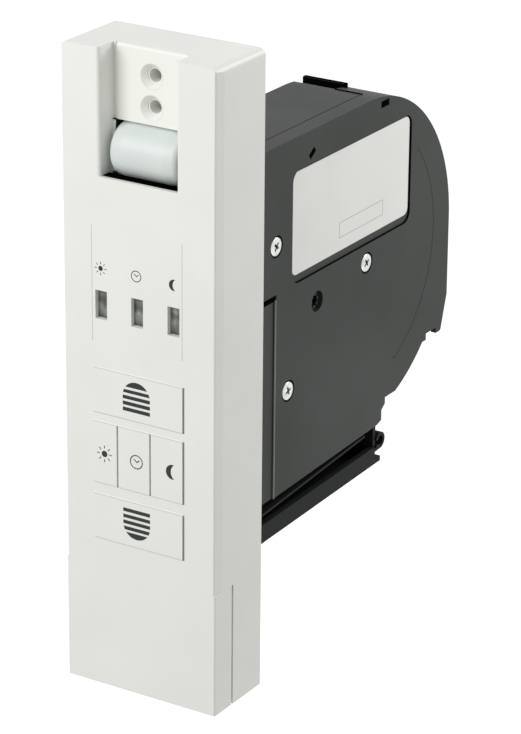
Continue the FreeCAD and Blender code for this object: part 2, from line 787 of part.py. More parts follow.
def rectangle(sketch, left, right, low, high):
    """A rectangle whose four sides are bound to expressions."""
    corners = ((0, 0), (10, 0), (10, 10), (0, 10))
    lines = [Part.LineSegment(VECTOR(*corners[i], 0), VECTOR(*corners[(i + 1) % 4], 0)) for i in range(4)]
    first = sketch.addGeometry(lines, False)[0]
    for i in range(4):
        sketch.addConstraint(Sketcher.Constraint("Coincident", first + i, 2, first + (i + 1) % 4, 1))
    sketch.addConstraint(Sketcher.Constraint("Horizontal", first))
    sketch.addConstraint(Sketcher.Constraint("Vertical", first + 1))
    sketch.addConstraint(Sketcher.Constraint("Horizontal", first + 2))
    sketch.addConstraint(Sketcher.Constraint("Vertical", first + 3))
    for kind, point, text in (("DistanceX", (first, 1), left), ("DistanceY", (first, 1), low),
                              ("DistanceX", (first + 1, 2), right), ("DistanceY", (first + 1, 2), high)):
        index = sketch.addConstraint(Sketcher.Constraint(kind, -1, 1, *point, number(text)))
        sketch.setExpression(f"Constraints[{index}]", bound(text))


def face_sketch(body, label):
    """A sketch on the body's own front plane, seen from behind the plate."""
    sketch = body.newObject("Sketcher::SketchObject", label)
    plane = next(item for item in body.Origin.OriginFeatures if item.Role == "XZ_Plane")
    sketch.AttachmentSupport = [(plane, "")]
    sketch.MapMode = "FlatFace"
    return sketch


def pad(body, sketch, label, y_low, y_high):
    """A pad of a front sketch between two depths."""
    sketch.setExpression("AttachmentOffset.Base.z", bound(f"-({y_low})"))
    feature = body.newObject("PartDesign::Pad", label)
    feature.Profile = sketch
    feature.Reversed = True
    feature.setExpression("Length", bound(f"({y_high}) - ({y_low})"))
    return feature


FLANGE_FRONT = f"{FACE_BACK} + key_flange_gap"
FLANGE_BACK = f"{FLANGE_FRONT} + key_flange"
SWITCH_FRONT = "board_face - switch_height"
POST_END = f"{SWITCH_FRONT} - key_travel - plunger_gap"
CLOCK_LEFT = f"{KEYPAD_LEFT} + sun_key_width + key_gap"
MOON_LEFT = f"{CLOCK_LEFT} + clock_key_width + key_gap"
KEYS = (
    ("up", KEYPAD_LEFT, KEYPAD_RIGHT, "up_key_top", "up_key_height"),
    ("sun", KEYPAD_LEFT, f"{KEYPAD_LEFT} + sun_key_width", "middle_key_top", "middle_key_height"),
    ("clock", CLOCK_LEFT, f"{CLOCK_LEFT} + clock_key_width", "middle_key_top", "middle_key_height"),
    ("moon", MOON_LEFT, KEYPAD_RIGHT, "middle_key_top", "middle_key_height"),
    ("down", KEYPAD_LEFT, KEYPAD_RIGHT, "down_key_top", "down_key_height"),
)
switches = []
for name, left, right, top, height in KEYS:
    low = f"{top} - {height}"
    middle_x = f"(({left}) + ({right})) / 2"
    middle_z = f"{top} - {height} / 2"
    body = doc.addObject("PartDesign::Body", f"{name}_key_body")
    cap = face_sketch(body, f"{name}_cap_sketch")
    rectangle(cap, left, right, low, top)
    doc.recompute()
    pad(body, cap, f"{name}_cap", "-plate_depth - key_proud", FLANGE_BACK)
    flange = face_sketch(body, f"{name}_flange_sketch")
    rectangle(flange, left, right, f"{low} - key_flange", f"{top} + key_flange")
    doc.recompute()
    pad(body, flange, f"{name}_flange", FLANGE_FRONT, FLANGE_BACK)
    hollow = face_sketch(body, f"{name}_hollow_sketch")
    rectangle(hollow, f"{left} + key_wall", f"{right} - key_wall", f"{low} + key_wall", f"{top} - key_wall")
    doc.recompute()
    hollow.setExpression("AttachmentOffset.Base.z", bound(f"-({FLANGE_BACK})"))
    pocket = body.newObject("PartDesign::Pocket", f"{name}_hollow")
    pocket.Profile = hollow
    pocket.Reversed = True
    pocket.setExpression("Length", bound(f"({FLANGE_BACK}) + plate_depth + key_proud - key_face"))
    post = cylinder(f"{name}_post", "Y", "key_post_radius", "-plate_depth - key_proud + key_face / 2",
                    POST_END, middle_x, middle_z)
    named(join(f"{name}_key_shape", body, post), f"{name}_key")
    plunger = cylinder(f"{name}_plunger_shape", "Y", "plunger_radius", POST_END,
                       f"{POST_END} + plunger_length", middle_x, middle_z)
    named(plunger, f"{name}_plunger")
    switch_body = box(f"{name}_switch_block",
                      (f"{middle_x} - switch_size / 2", f"{middle_x} + switch_size / 2"),
                      (SWITCH_FRONT, "board_face"),
                      (f"{middle_z} - switch_size / 2", f"{middle_z} + switch_size / 2"))
    switch_bore = cylinder(f"{name}_switch_bore", "Y", "plunger_radius + plunger_gap",
                           f"{SWITCH_FRONT} - 1", "board_face - 0.4", middle_x, middle_z)
    switches.append(cut(f"{name}_switch", switch_body, switch_bore))
named(group("switch_group", *switches), "key_switches")

# Indicator windows, their lamps, and the control board

leds = []
for name, middle in LAMPS:
    window = box(f"{name}_window_shape",
                 (f"{middle} - lamp_width / 2", f"{middle} + lamp_width / 2"),
                 ("-plate_depth + lamp_recess", "board_face - led_height - 0.3"),
                 ("lamp_bottom", "lamp_bottom + lamp_height"))
    named(window, f"{name}_window")
    leds.append(box(f"{name}_led", (f"{middle} - led_size / 2", f"{middle} + led_size / 2"),
                    ("board_face - led_height", "board_face"),
                    ("lamp_bottom + lamp_height / 2 - led_size / 2",
                     "lamp_bottom + lamp_height / 2 + led_size / 2")))
named(group("led_group", *leds), "indicator_leds")
board_plate = box("board_plate", ("-board_width / 2", "board_width / 2"),
                  ("board_face", "board_face + board_thickness"), ("board_bottom", "board_top"))
board_holes = []
board_screw_parts = []
for column, x in (("left", "-board_post_spacing / 2"), ("right", "board_post_spacing / 2")):
    for level, z in (("top", "board_post_top"), ("bottom", "board_post_bottom")):
        spot = f"{column}_{level}"
        board_holes.append(cylinder(f"board_hole_{spot}", "Y", "board_screw_radius + 0.2",
                                    "board_face - 1", "board_face + board_thickness + 1", x, z))
        head = cylinder(f"board_head_{spot}", "Y", "board_screw_head",
                        "board_face - board_screw_head_height", "board_face", x, z)
        shank = cylinder(f"board_shank_{spot}", "Y", "board_screw_radius",
                         "board_face", "board_face + board_screw_length", x, z)
        board_screw_parts.append(join(f"board_screw_{spot}", head, shank))
named(cut("control_board_shape", board_plate, *board_holes), "control_board")
named(group("board_screw_group", *board_screw_parts), "board_screws")
BOARD_BACK = "board_face + board_thickness"
chip = box("chip_shape", ("-chip_size / 2", "chip_size / 2"), (BOARD_BACK, f"{BOARD_BACK} + chip_height"),
           ("board_top - chip_size - 6", "board_top - 6"))
named(chip, "controller_chip")

# Case shells

outer_points = outline_of_case(0)
hollow_points = outline_of_case(size("case_wall"))
nose_wall = size("case_wall")
nose_points = [
    (number(NOSE_BACK) - nose_wall, size("nose_bend") + 7),
    (number(NOSE_BACK) - nose_wall, size("nose_bend")),
    (size("nose_inner") + 1, size("nose_tip_z")),
    (size("nose_inner") + 1, size("nose_tip_z") - 3),
    (size("drum_lug_y") + nose_wall, size("nose_tip_z") - 3),
    (size("drum_lug_y") + nose_wall, size("nose_ledge") + 1),
]


def case_hollow(label, low, high):
    """The hollow between two planes: the drum's space and the pocket in the nose."""
    return join(label, prism(label + "_main", "X", low, high, hollow_points),
                prism(label + "_nose", "X", low, high, nose_points))


SEAM_TOP = f"{CASE_TOP} + 20"
left_solid = prism("left_solid", "X", f"-{HALF_CASE}", "front_seam", outer_points)
left_drum_cut = box("left_drum_cut", ("drum_seam", "front_seam + 1"), ("seam_y", f"{NOSE_BACK} + 5"),
                    ("channel_front_z - 5", SEAM_TOP))
top_groove = box("top_groove", ("front_seam - seam_groove", "front_seam + 1"), ("-1", "seam_y"),
                 (f"{CASE_TOP} - seam_groove", SEAM_TOP))
hook_slot = box("hook_slot", (f"-{HALF_CASE} - 1", "hook_slot_right"), ("hook_slot_start", "hook_slot_end"),
                ("hook_slot_floor", SEAM_TOP))
hook_edge = box("hook_edge", (f"-{HALF_CASE}", "drum_seam"), ("hook_slot_end", "hook_slot_end + hook_wall"),
                ("hook_slot_floor", CASE_TOP))
left_case = cut("left_case", left_solid, case_hollow("left_hollow", f"-({CASE_INSIDE})", "front_seam + 1"),
                left_drum_cut, hook_slot, top_groove)
case_posts = []
post_holes = []
CASE_SCREWS = (("front", "front_screw_y", "front_screw_z"), ("low", "low_screw_y", "low_screw_z"))
for name, y, z in CASE_SCREWS:
    case_posts.append(cylinder(f"{name}_post", "X", "post_radius", f"-({CASE_INSIDE}) - 1",
                               CASE_INSIDE, y, z))
    post_holes.append(cylinder(f"{name}_post_hole", "X", "case_screw_radius",
                               f"{CASE_INSIDE} - case_screw_length", f"{CASE_INSIDE} + 1", y, z))
gear_turn = math.radians(size("gear_angle"))
gear_distance = size("tooth_module") * (size("ring_teeth") + size("drive_teeth")) / 2
gear_y = size("drum_y") + gear_distance * math.cos(gear_turn)
gear_z = size("drum_z") + gear_distance * math.sin(gear_turn)
axle_socket = cylinder("axle_socket", "X", "axle_radius + 2.5", f"-({CASE_INSIDE}) - 1",
                       f"{LEFT_END} - reel_end_gap / 2", "drum_y", "drum_z")
pin_socket = cylinder("pin_socket", "X", "gear_pin_radius + 2", f"-({CASE_INSIDE}) - 1",
                      "-wheel_thickness / 2 - 0.3", str(gear_y), str(gear_z))
pin_socket_bore = cylinder("pin_socket_bore", "X", "gear_pin_radius", f"-({CASE_INSIDE})", "0",
                           str(gear_y), str(gear_z))
standoffs = [
    box(f"standoff_{i}", (f"-({CASE_INSIDE}) - 1", f"-({CASE_INSIDE}) + power_board_standoff"),
        ("power_board_y + 15", "power_board_y + power_board_length - 2"), (low, high))
    for i, (low, high) in enumerate((
        ("power_board_z + 1", "power_board_z + 4"),
        ("power_board_z + power_board_height - 4", "power_board_z + power_board_height - 1")))
]
left_shell = cut("left_shell_shape",
                 join("left_case_parts", left_case, hook_edge, *case_posts, axle_socket, pin_socket,
                      *standoffs),
                 pin_socket_bore, *post_holes)
named(left_shell, "left_shell")

right_solid = prism("right_solid", "X", "drum_seam", HALF_CASE, outer_points)
right_front_cut = box("right_front_cut", ("drum_seam - 1", "front_seam"), ("-1", "seam_y"),
                      ("channel_front_z - 5", SEAM_TOP))
side_step = box("side_step", (f"{HALF_CASE} - side_step_depth", f"{HALF_CASE} + 1"), ("-1", "side_step_y"),
                ("channel_front_z", "side_step_z"))
side_groove = box("side_groove", (f"{HALF_CASE} - side_groove_depth", f"{HALF_CASE} + 1"),
                  ("-1", "side_step_y"), ("side_step_z - side_groove_height", "side_step_z"))
service_hole = cylinder("service_hole", "X", "service_hole_radius", f"{CASE_INSIDE} - 1", f"{HALF_CASE} + 1",
                        "service_hole_y", "service_hole_z")
side_window = box("side_window", (f"{CASE_INSIDE} - 1", f"{HALF_CASE} + 1"),
                  ("window_y", "window_y + window_length"), ("window_z", "window_z + window_height"))
field_left = size("label_y")
field_right = field_left + size("label_length") + size("label_field_margin")
field_low = size("label_z") - size("label_field_below")
field_high = size("label_z") + size("label_height") + size("label_field_margin") / 2
field_round = size("label_field_radius")
label_field = prism("label_field", "X", f"{HALF_CASE} - label_field_depth", f"{HALF_CASE} + 1", [
    (field_left, field_low, field_round), (field_right, field_low, field_round),
    (field_right, field_high, field_round), (field_left, field_high, field_round)])
head_seats = []
shank_holes = []
AXLE_SPOT = ("drum_y", "drum_z")
for name, y, z in CASE_SCREWS + (("axle", *AXLE_SPOT),):
    head_seats.append(cylinder(f"{name}_head_seat", "X", "case_screw_head_radius + case_screw_ring",
                               f"{HALF_CASE} - case_screw_sink", f"{HALF_CASE} + 1", y, z))
    shank_holes.append(cylinder(f"{name}_shank_hole", "X", "case_screw_radius + 0.2", f"{CASE_INSIDE} - 3",
                                f"{HALF_CASE} + 1", y, z))
pin_seat = cylinder("pin_seat", "X", "gear_pin_radius", f"{CASE_INSIDE} - 1", f"{CASE_INSIDE} + 1",
                    str(gear_y), str(gear_z))


def on_drum(radius, angle):
    """A point about the drum's axis."""
    return size("drum_y") + radius * math.cos(angle), size("drum_z") + radius * math.sin(angle)


def drum_band(label, low, high, inner_radius, outer_radius, start, end):
    """A band about the drum's axis between two radii and two angles in radians."""
    centre = (start + end) / 2
    return prism(label, "X", low, high, [
        (*on_drum(inner_radius, start), *on_drum(inner_radius, centre)), on_drum(outer_radius, start),
        (*on_drum(outer_radius, end), *on_drum(outer_radius, centre)), on_drum(inner_radius, end)])


side_arc = drum_band("side_arc", f"{HALF_CASE} - arc_depth", f"{HALF_CASE} + 1",
                     size("arc_radius") - size("arc_width") / 2, size("arc_radius") + size("arc_width") / 2,
                     math.radians(size("arc_start")), math.radians(size("arc_end")))
jog_angle = math.acos((size("seam_y") - size("drum_y")) / size("drum_radius"))
jog_groove = box("jog_groove", ("drum_seam", "front_seam"), ("seam_y - 1", "seam_y + seam_groove"),
                 (f"{CASE_TOP} - 2 * seam_groove", SEAM_TOP))
drum_groove = drum_band("drum_groove", "drum_seam - 1", "drum_seam + seam_groove",
                        size("drum_radius") - size("seam_groove"), size("drum_radius") + 1,
                        math.radians(size("seam_end_angle")), jog_angle)
slot_along = size("slant_slot_length") / 2
slot_across = size("slant_slot_width") / 2
slot_corners = []
for along, across in ((-1, -1), (1, -1), (1, 1), (-1, 1)):
    corner = VECTOR(along * slot_along, across * slot_across, 0)
    corner = FreeCAD.Rotation(AXES["Z"], size("slant_slot_angle")).multVec(corner)
    slot_corners.append((size("slant_slot_y") + corner.x, size("slant_slot_z") + corner.y))
slant_slot = prism("slant_slot", "X", f"{CASE_INSIDE} - 1", f"{HALF_CASE} + 1", slot_corners)
right_shell = cut("right_shell_shape", right_solid,
                  case_hollow("right_hollow", "drum_seam - 1", CASE_INSIDE), right_front_cut, side_step,
                  side_groove, service_hole, side_window, side_arc, jog_groove, drum_groove, slant_slot,
                  label_field, pin_seat, *head_seats, *shank_holes)
named(right_shell, "right_shell")

label_round = size("label_radius")
label_right = size("label_y") + size("label_length")
label_high = size("label_z") + size("label_height")
LABEL_BACK = f"{HALF_CASE} - label_field_depth"
rating_label = prism("label_shape", "X", LABEL_BACK, f"{LABEL_BACK} + label_thickness", [
    (size("label_y") + 0.3, size("label_z"), label_round), (label_right, size("label_z"), label_round),
    (label_right, label_high, label_round), (size("label_y") + 0.3, label_high, label_round)])
named(rating_label, "rating_label")


def pan_screw(name, y, z, length):
    """A pan-head screw along X with a cross recess, its head in its seat."""
    seat = f"{HALF_CASE} - case_screw_sink"
    head = cylinder(f"{name}_screw_head", "X", "case_screw_head_radius", seat,
                    f"{seat} + case_screw_head_height", y, z)
    shank = cylinder(f"{name}_screw_shank", "X", "case_screw_radius", f"{seat} - {length}", seat, y, z)
    top = f"{seat} + case_screw_head_height"
    across, along = "cross_recess_length / 2", "cross_recess_width / 2"
    arms = [
        box(f"{name}_arm_{i}", (f"{top} - cross_recess_depth", f"{top} + 1"),
            (f"{y} - {wide}", f"{y} + {wide}"), (f"{z} - {tall}", f"{z} + {tall}"))
        for i, (wide, tall) in enumerate(((across, along), (along, across)))
    ]
    return cut(f"{name}_screw", join(f"{name}_screw_blank", head, shank), *arms)


named(group("case_screw_group",
            *[pan_screw(name, y, z, "case_screw_length") for name, y, z in CASE_SCREWS]), "case_screws")
named(pan_screw("axle", *AXLE_SPOT, "case_screw_length"), "axle_screw")

# Cable channel under the case

length = size("channel_length")
front_low = size("channel_front_z")
rear_low = size("channel_rear_z")
floor_rise = size("channel_floor")
side_wall = prism("channel_side", "X", f"-{HALF_CASE}", f"-({CASE_INSIDE})", [
    (0, front_low), (length, rear_low), (length - size("notch_depth"), rear_low + size("notch_height")),
    (size("floor_rear_y"), size("floor_rear_z")), (0, size("floor_front_z"))])
channel_floor = prism("channel_base", "X", f"-{HALF_CASE}", HALF_CASE, [
    (0, front_low), (length, rear_low), (length, rear_low + floor_rise), (0, front_low + floor_rise)])
lip_rear_y = length - size("notch_depth")
channel_lip = prism("channel_lip", "X", CASE_INSIDE, HALF_CASE, [
    (0, front_low), (length, rear_low), (length, rear_low + size("channel_lip_edge")),
    (lip_rear_y, rear_low + size("channel_lip_edge")),
    (lip_rear_y, size("hook_z") - size("hook_radius")), (lip_rear_y - 1, size("channel_lip_rear")),
    (0, size("channel_lip_front"))])
shelf_low = size("shelf_thickness")
channel_shelf = prism("channel_shelf", "X", f"-({CASE_INSIDE}) - 0.5", f"{HALF_CASE} - 0.8", [
    (0, size("shelf_front_z")), (0, size("shelf_front_z") - shelf_low),
    (size("shelf_length"), size("shelf_rear_z") - shelf_low), (size("shelf_length"), size("shelf_rear_z"))])
web_front = lip_rear_y - size("channel_web") / 3
web_rear = web_front + size("channel_web")
web_low = rear_low + size("channel_floor") / 2
rear_web = prism("rear_web", "X", f"-({CASE_INSIDE}) - 0.5", f"{HALF_CASE} - 0.6", [
    (web_front, web_low), (web_rear, web_low), (web_rear, size("floor_rear_z") - 0.1),
    (web_front, size("floor_rear_z") - 0.25)])
hook_y, hook_z = size("hook_y"), size("hook_z")
mouth_reach = size("hook_radius") + 1
mouth_high = hook_z + size("hook_mouth_height") / 3
mouth_low = mouth_high - size("hook_mouth_height")
hook_ring = cut("hook_ring",
                cylinder("hook_outer", "X", "hook_radius", f"-{HALF_CASE}", HALF_CASE, "hook_y", "hook_z"),
                cylinder("hook_inner", "X", "hook_radius - hook_thickness", f"-{HALF_CASE} - 1",
                         f"{HALF_CASE} + 1", "hook_y", "hook_z"),
                prism("hook_mouth", "X", f"-{HALF_CASE} - 1", f"{HALF_CASE} + 1", [
                    (hook_y, hook_z), (hook_y - mouth_reach, mouth_high), (hook_y - mouth_reach, mouth_low)]))
foot_low = hook_z - size("hook_foot_drop")
foot_high = foot_low + size("hook_foot_height")
foot_half = size("hook_thickness") / 2
hook_foot = prism("hook_foot", "X", f"-{HALF_CASE}", HALF_CASE, [
    (lip_rear_y - 0.2, foot_low), (hook_y + foot_half, foot_low + foot_half / 2),
    (hook_y - foot_half, foot_high), (lip_rear_y - 0.2, foot_high)])
cable_channel = join("cable_channel_shape", side_wall, channel_floor, channel_lip, channel_shelf, rear_web,
                     hook_ring, hook_foot)
named(cable_channel, "cable_channel")

# Belt reel with its ring gear, on a fixed axle

drum_y, drum_z = size("drum_y"), size("drum_z")
left_face = -size("belt_space") / 2
flange_left = left_face - size("reel_left_flange")
ring_low = size("belt_space") / 2 - 0.2
ring_high = ring_low + size("ring_thickness")
core = size("reel_core_radius")
core_inner = core - size("reel_core_wall")
hub = size("reel_hub_radius")
axle_gap = size("axle_radius") + size("running_gap")
web_half = size("reel_web") / 2
reel_core = turned("reel_core", "X", [
    (flange_left, axle_gap), (flange_left, hub), (-web_half, hub), (-web_half, core_inner),
    (left_face, core_inner), (left_face, core), (ring_low, core), (ring_low, core_inner),
    (web_half, core_inner), (web_half, hub), (ring_high, hub), (ring_high, axle_gap)],
    "drum_y", "drum_z")
left_disc = cylinder("left_disc", "X", "drum_radius - case_wall - reel_rim_gap",
                     "-belt_space / 2 - reel_left_flange",
                     "-belt_space / 2", "drum_y", "drum_z")
left_opening = cylinder("left_opening", "X", "reel_core_radius - reel_core_wall", "-case_width / 2",
                        "case_width / 2", "drum_y", "drum_z")
ring_phase = size("gear_angle") + 180 / size("ring_teeth")
ring_gear = gear_disc("ring_gear", int(size("ring_teeth")), core_inner, ring_phase, ring_low, ring_high,
                      drum_y, drum_z)
hole_angle = math.atan2(size("service_hole_z") - drum_z, size("service_hole_y") - drum_y)
hole_circle = math.hypot(size("service_hole_z") - drum_z, size("service_hole_y") - drum_y)
reel_holes = []
for i in range(int(size("reel_holes"))):
    angle = hole_angle + 2 * math.pi * i / size("reel_holes")
    reel_holes.append(cylinder(f"reel_hole_{i}", "X", "reel_hole_radius", "-case_width / 2", "case_width / 2",
                               str(drum_y + hole_circle * math.cos(angle)),
                               str(drum_z + hole_circle * math.sin(angle))))
hook_seat_z = drum_z + core
HOOK_SEAT = "drum_z + reel_core_radius - hook_recess_depth"
hook_recess = box("hook_recess", ("-hook_plate_width / 2", "hook_plate_width / 2"),
                  ("drum_y - hook_plate_length / 2", "drum_y + hook_plate_length / 2"),
                  (HOOK_SEAT, "drum_z + reel_core_radius + 1"))
named(cut("belt_reel_shape", reel_core, hook_recess), "belt_reel")
named(cut("reel_flange_shape", left_disc, left_opening, *reel_holes), "reel_flange")
named(cut("reel_ring_shape", ring_gear, *reel_holes), "reel_ring")
hook_plate = box("hook_plate", ("-hook_plate_width / 2", "hook_plate_width / 2"),
                 ("drum_y - hook_plate_length / 2", "drum_y + hook_plate_length / 2"),
                 (HOOK_SEAT, f"{HOOK_SEAT} + hook_plate_thickness"))
claw_low = hook_seat_z - size("hook_recess_depth") + size("hook_plate_thickness") - 0.2
claw_high = hook_seat_z + size("hook_claw_height")
claw_rear = drum_y - size("hook_plate_length") / 2 + 0.9
claw_front = claw_rear + size("hook_claw_reach")
claw_stem = claw_rear + size("hook_claw_stem")
claw_bar = size("hook_claw_thickness")
hook_claw = prism("hook_claw", "X", "-hook_plate_width / 4", "hook_plate_width / 4", [
    (claw_rear, claw_low), (claw_stem, claw_low), (claw_stem, claw_high - 1.5 * claw_bar),
    (claw_front, claw_high - claw_bar), (claw_front, claw_high), (claw_rear, claw_high - claw_bar / 2)])
named(join("belt_hook_shape", hook_plate, hook_claw), "belt_hook")
axle_rod = cylinder("axle_rod", "X", "axle_radius", f"{LEFT_END} - reel_end_gap / 2", CASE_INSIDE,
                    "drum_y", "drum_z")
axle_bore = cylinder("axle_bore", "X", "axle_bore_radius", f"{CASE_INSIDE} - case_screw_length + 1",
                     f"{CASE_INSIDE} + 1", "drum_y", "drum_z")
named(cut("reel_axle_shape", axle_rod, axle_bore), "reel_axle")

# Drive gear: the worm wheel in the middle and the pinion at the right, on a fixed pin

pin_gap = size("gear_pin_radius") + size("running_gap")
wheel_half = size("wheel_thickness") / 2
drive_low = ring_low - 0.2
drive_high = drive_low + size("drive_thickness")
wheel_phase = 180 + 180 / size("wheel_teeth")
worm_wheel = gear_disc("worm_wheel", int(size("wheel_teeth")), pin_gap, wheel_phase, -wheel_half, wheel_half,
                       gear_y, gear_z)
drive_pinion = gear_disc("drive_pinion", int(size("drive_teeth")), pin_gap, size("gear_angle") - 180,
                         drive_low, drive_high, gear_y, gear_z)
gear_hub = cut("gear_hub",
               cylinder("gear_hub_rod", "X", "gear_hub_radius", str(wheel_half - 0.5), str(drive_low + 0.5),
                        str(gear_y), str(gear_z)),
               cylinder("gear_hub_bore", "X", "gear_pin_radius + running_gap", "-case_width", "case_width",
                        str(gear_y), str(gear_z)))
named(join("drive_gear_shape", worm_wheel, drive_pinion, gear_hub), "drive_gear")
gear_pin = cylinder("gear_pin_shape", "X", "gear_pin_radius", f"-({CASE_INSIDE})", f"{CASE_INSIDE} + 1",
                    str(gear_y), str(gear_z))
named(gear_pin, "gear_pin")

# Worm on the motor's shaft, its bush and its magnet

worm_radius = size("worm_radius")
worm_y = gear_y - size("tooth_module") * size("wheel_teeth") / 2 - worm_radius
lead = math.pi * size("tooth_module")
worm_length = size("worm_length")
shaft_radius = size("motor_shaft_radius")
root = worm_radius - 1.2 * size("tooth_module")


def worm_shape():
    """A single right-hand thread on a core. The thread meets the wheel's gap at the middle height."""
    core_rod = Part.makeCylinder(root, worm_length, VECTOR(0, 0, -worm_length / 2))
    turns = (worm_length - lead) / lead
    helix = Part.makeHelix(lead, turns * lead, root)
    base = size("worm_thread")
    low, high = root - 0.3, worm_radius + 0.95 * size("tooth_module")
    half_root = base / 2 + math.tan(math.radians(20)) * (worm_radius - low)
    half_tip = base / 2 - math.tan(math.radians(20)) * (high - worm_radius)
    corners = [VECTOR(low, 0, -half_root), VECTOR(high, 0, -half_tip), VECTOR(high, 0, half_tip),
               VECTOR(low, 0, half_root)]
    profile = Part.makePolygon(corners + [corners[0]])
    thread = Part.Wire(helix).makePipeShell([profile], True, True)
    thread.translate(VECTOR(0, 0, -turns * lead / 2))
    # Half the turns start at the side of +X, so the thread is turned to face +Y at middle height.
    middle_turn = 360 * (turns / 2 - math.floor(turns / 2))
    thread.rotate(VECTOR(), VECTOR(0, 0, 1), 90 - middle_turn)
    blank = core_rod.fuse(thread).common(Part.makeCylinder(worm_radius * 2, worm_length,
                                                           VECTOR(0, 0, -worm_length / 2)))
    return blank.cut(Part.makeCylinder(shaft_radius, worm_length * 2, VECTOR(0, 0, -worm_length)))


worm = doc.addObject("Part::Feature", "worm_shape")
worm.Shape = worm_shape()
worm.Placement = FreeCAD.Placement(VECTOR(0, worm_y, gear_z), FreeCAD.Rotation())
named(worm, "worm")
motor_top = gear_z - size("motor_top_drop")
shaft_top = gear_z + size("shaft_top")
MOTOR_TOP = str(motor_top)
WORM_Y = str(worm_y)
SHAFT_TOP = str(shaft_top)
BUSH_LOW = f"{gear_z} + worm_length / 2 + 1.5"
named(cylinder("motor_shaft_shape", "Z", "motor_shaft_radius", f"{MOTOR_TOP} + motor_boss_height + 0.3",
               SHAFT_TOP, "0", WORM_Y), "motor_shaft")
magnet = cut("magnet_shape",
             cylinder("magnet_disc", "Z", "magnet_radius", f"{SHAFT_TOP} - magnet_height", SHAFT_TOP,
                      "0", WORM_Y),
             cylinder("magnet_bore", "Z", "motor_shaft_radius", f"{SHAFT_TOP} - magnet_height - 1",
                      f"{SHAFT_TOP} + 1", "0", WORM_Y))
named(magnet, "pulse_magnet")
bush = cut("bush_shape",
           cylinder("bush_ring", "Z", "bush_radius", BUSH_LOW, f"{BUSH_LOW} + bush_height", "0", WORM_Y),
           cylinder("bush_bore", "Z", "motor_shaft_radius + running_gap", f"{BUSH_LOW} - 1",
                    f"{BUSH_LOW} + bush_height + 1", "0", WORM_Y))
named(bush, "worm_bush")

# Motor, its end cap and the bracket

motor_can = cylinder("motor_can", "Z", "motor_radius", f"{MOTOR_TOP} - motor_length", MOTOR_TOP, "0", WORM_Y)
motor_boss = cylinder("motor_boss", "Z", "motor_boss_radius", MOTOR_TOP, f"{MOTOR_TOP} + motor_boss_height",
                      "0", WORM_Y)
named(join("motor_shape", motor_can, motor_boss), "motor")
CAN_LOW = f"{MOTOR_TOP} - motor_length"
cap_disc = cylinder("cap_disc", "Z", "end_cap_radius", f"{CAN_LOW} - end_cap_height", CAN_LOW, "0", WORM_Y)
tabs = [
    box(f"terminal_tab_{side}", (low, high),
        (f"{WORM_Y} - terminal_tab_y", f"{WORM_Y} - terminal_tab_y + terminal_tab_thickness"),
        (f"{CAN_LOW} - end_cap_height - terminal_tab", f"{CAN_LOW} - end_cap_height"))
    for side, low, high in (("left", "-terminal_tab_x - terminal_tab_width", "-terminal_tab_x"),
                            ("right", "terminal_tab_x", "terminal_tab_x + terminal_tab_width"))
]
named(join("end_cap_shape", cap_disc, *tabs), "motor_end_cap")
BACK_PLATE = f"{WORM_Y} - worm_radius - bracket_play"
BRACKET_END = "board_post_spacing / 2 + bracket_overhang"
lower_flange = box("bracket_flange", (f"-({BRACKET_END})", BRACKET_END),
                   (f"{BACK_PLATE} - bracket_thickness", "-panel_thickness"),
                   (MOTOR_TOP, f"{MOTOR_TOP} + bracket_thickness"))
flange_tongue = box("flange_tongue", ("-bracket_half_width", "bracket_half_width"),
                    ("-panel_thickness - 1", f"{WORM_Y} + bracket_tongue"),
                    (MOTOR_TOP, f"{MOTOR_TOP} + bracket_thickness"))
back_plate = box("bracket_back", ("-bracket_half_width", "bracket_half_width"),
                 (f"{BACK_PLATE} - bracket_thickness", BACK_PLATE), (MOTOR_TOP, f"{BUSH_LOW} + bush_height"))
top_flange = box("bracket_top", ("-bracket_half_width", "bracket_half_width"),
                 (f"{BACK_PLATE} - bracket_thickness", f"{WORM_Y} + bush_radius + bracket_overhang / 2"),
                 (f"{BUSH_LOW} + bush_height - bracket_thickness", f"{BUSH_LOW} + bush_height"))
ears = [
    box(f"bracket_ear_{side}", (low, high), ("-panel_thickness - bracket_thickness", "-panel_thickness"),
        (MOTOR_TOP, f"{MOTOR_TOP} + bracket_ear_height"))
    for side, low, high in (
        ("left", f"-({BRACKET_END})", f"-({BRACKET_END}) + bracket_ear_width"),
        ("right", f"{BRACKET_END} - bracket_ear_width", BRACKET_END))
]
EAR_X = f"{BRACKET_END} - bracket_ear_width / 2"
EAR_Z = f"{MOTOR_TOP} + bracket_ear_height - bracket_hole_drop"
ear_holes = [cylinder(f"ear_hole_{side}", "Y", "board_screw_radius + 0.2", "-panel_thickness - 4",
                      "-panel_thickness + 1", x, EAR_Z)
             for side, x in (("left", f"-({EAR_X})"), ("right", EAR_X))]
boss_hole = cylinder("boss_hole", "Z", "motor_boss_radius", f"{MOTOR_TOP} - 1",
                     f"{MOTOR_TOP} + bracket_thickness + 1", "0", WORM_Y)
bush_hole = cylinder("bush_hole", "Z", "bush_radius", f"{BUSH_LOW} - 1", f"{BUSH_LOW} + bush_height + 1",
                     "0", WORM_Y)
bracket = cut("bracket_shape", join("bracket_blank", lower_flange, flange_tongue, back_plate, top_flange,
                                    *ears), boss_hole, bush_hole, *ear_holes)
named(bracket, "motor_bracket")
bracket_screw_parts = []
for side, x in (("left", f"-({EAR_X})"), ("right", EAR_X)):
    seat = "-panel_thickness - bracket_thickness"
    head = cylinder(f"ear_head_{side}", "Y", "board_screw_head", f"{seat} - board_screw_head_height", seat,
                    x, EAR_Z)
    shank = cylinder(f"ear_shank_{side}", "Y", "board_screw_radius", seat, "-panel_thickness", x, EAR_Z)
    bracket_screw_parts.append(join(f"ear_screw_{side}", head, shank))
named(group("bracket_screw_group", *bracket_screw_parts), "bracket_screws")

# Power board and what stands on it

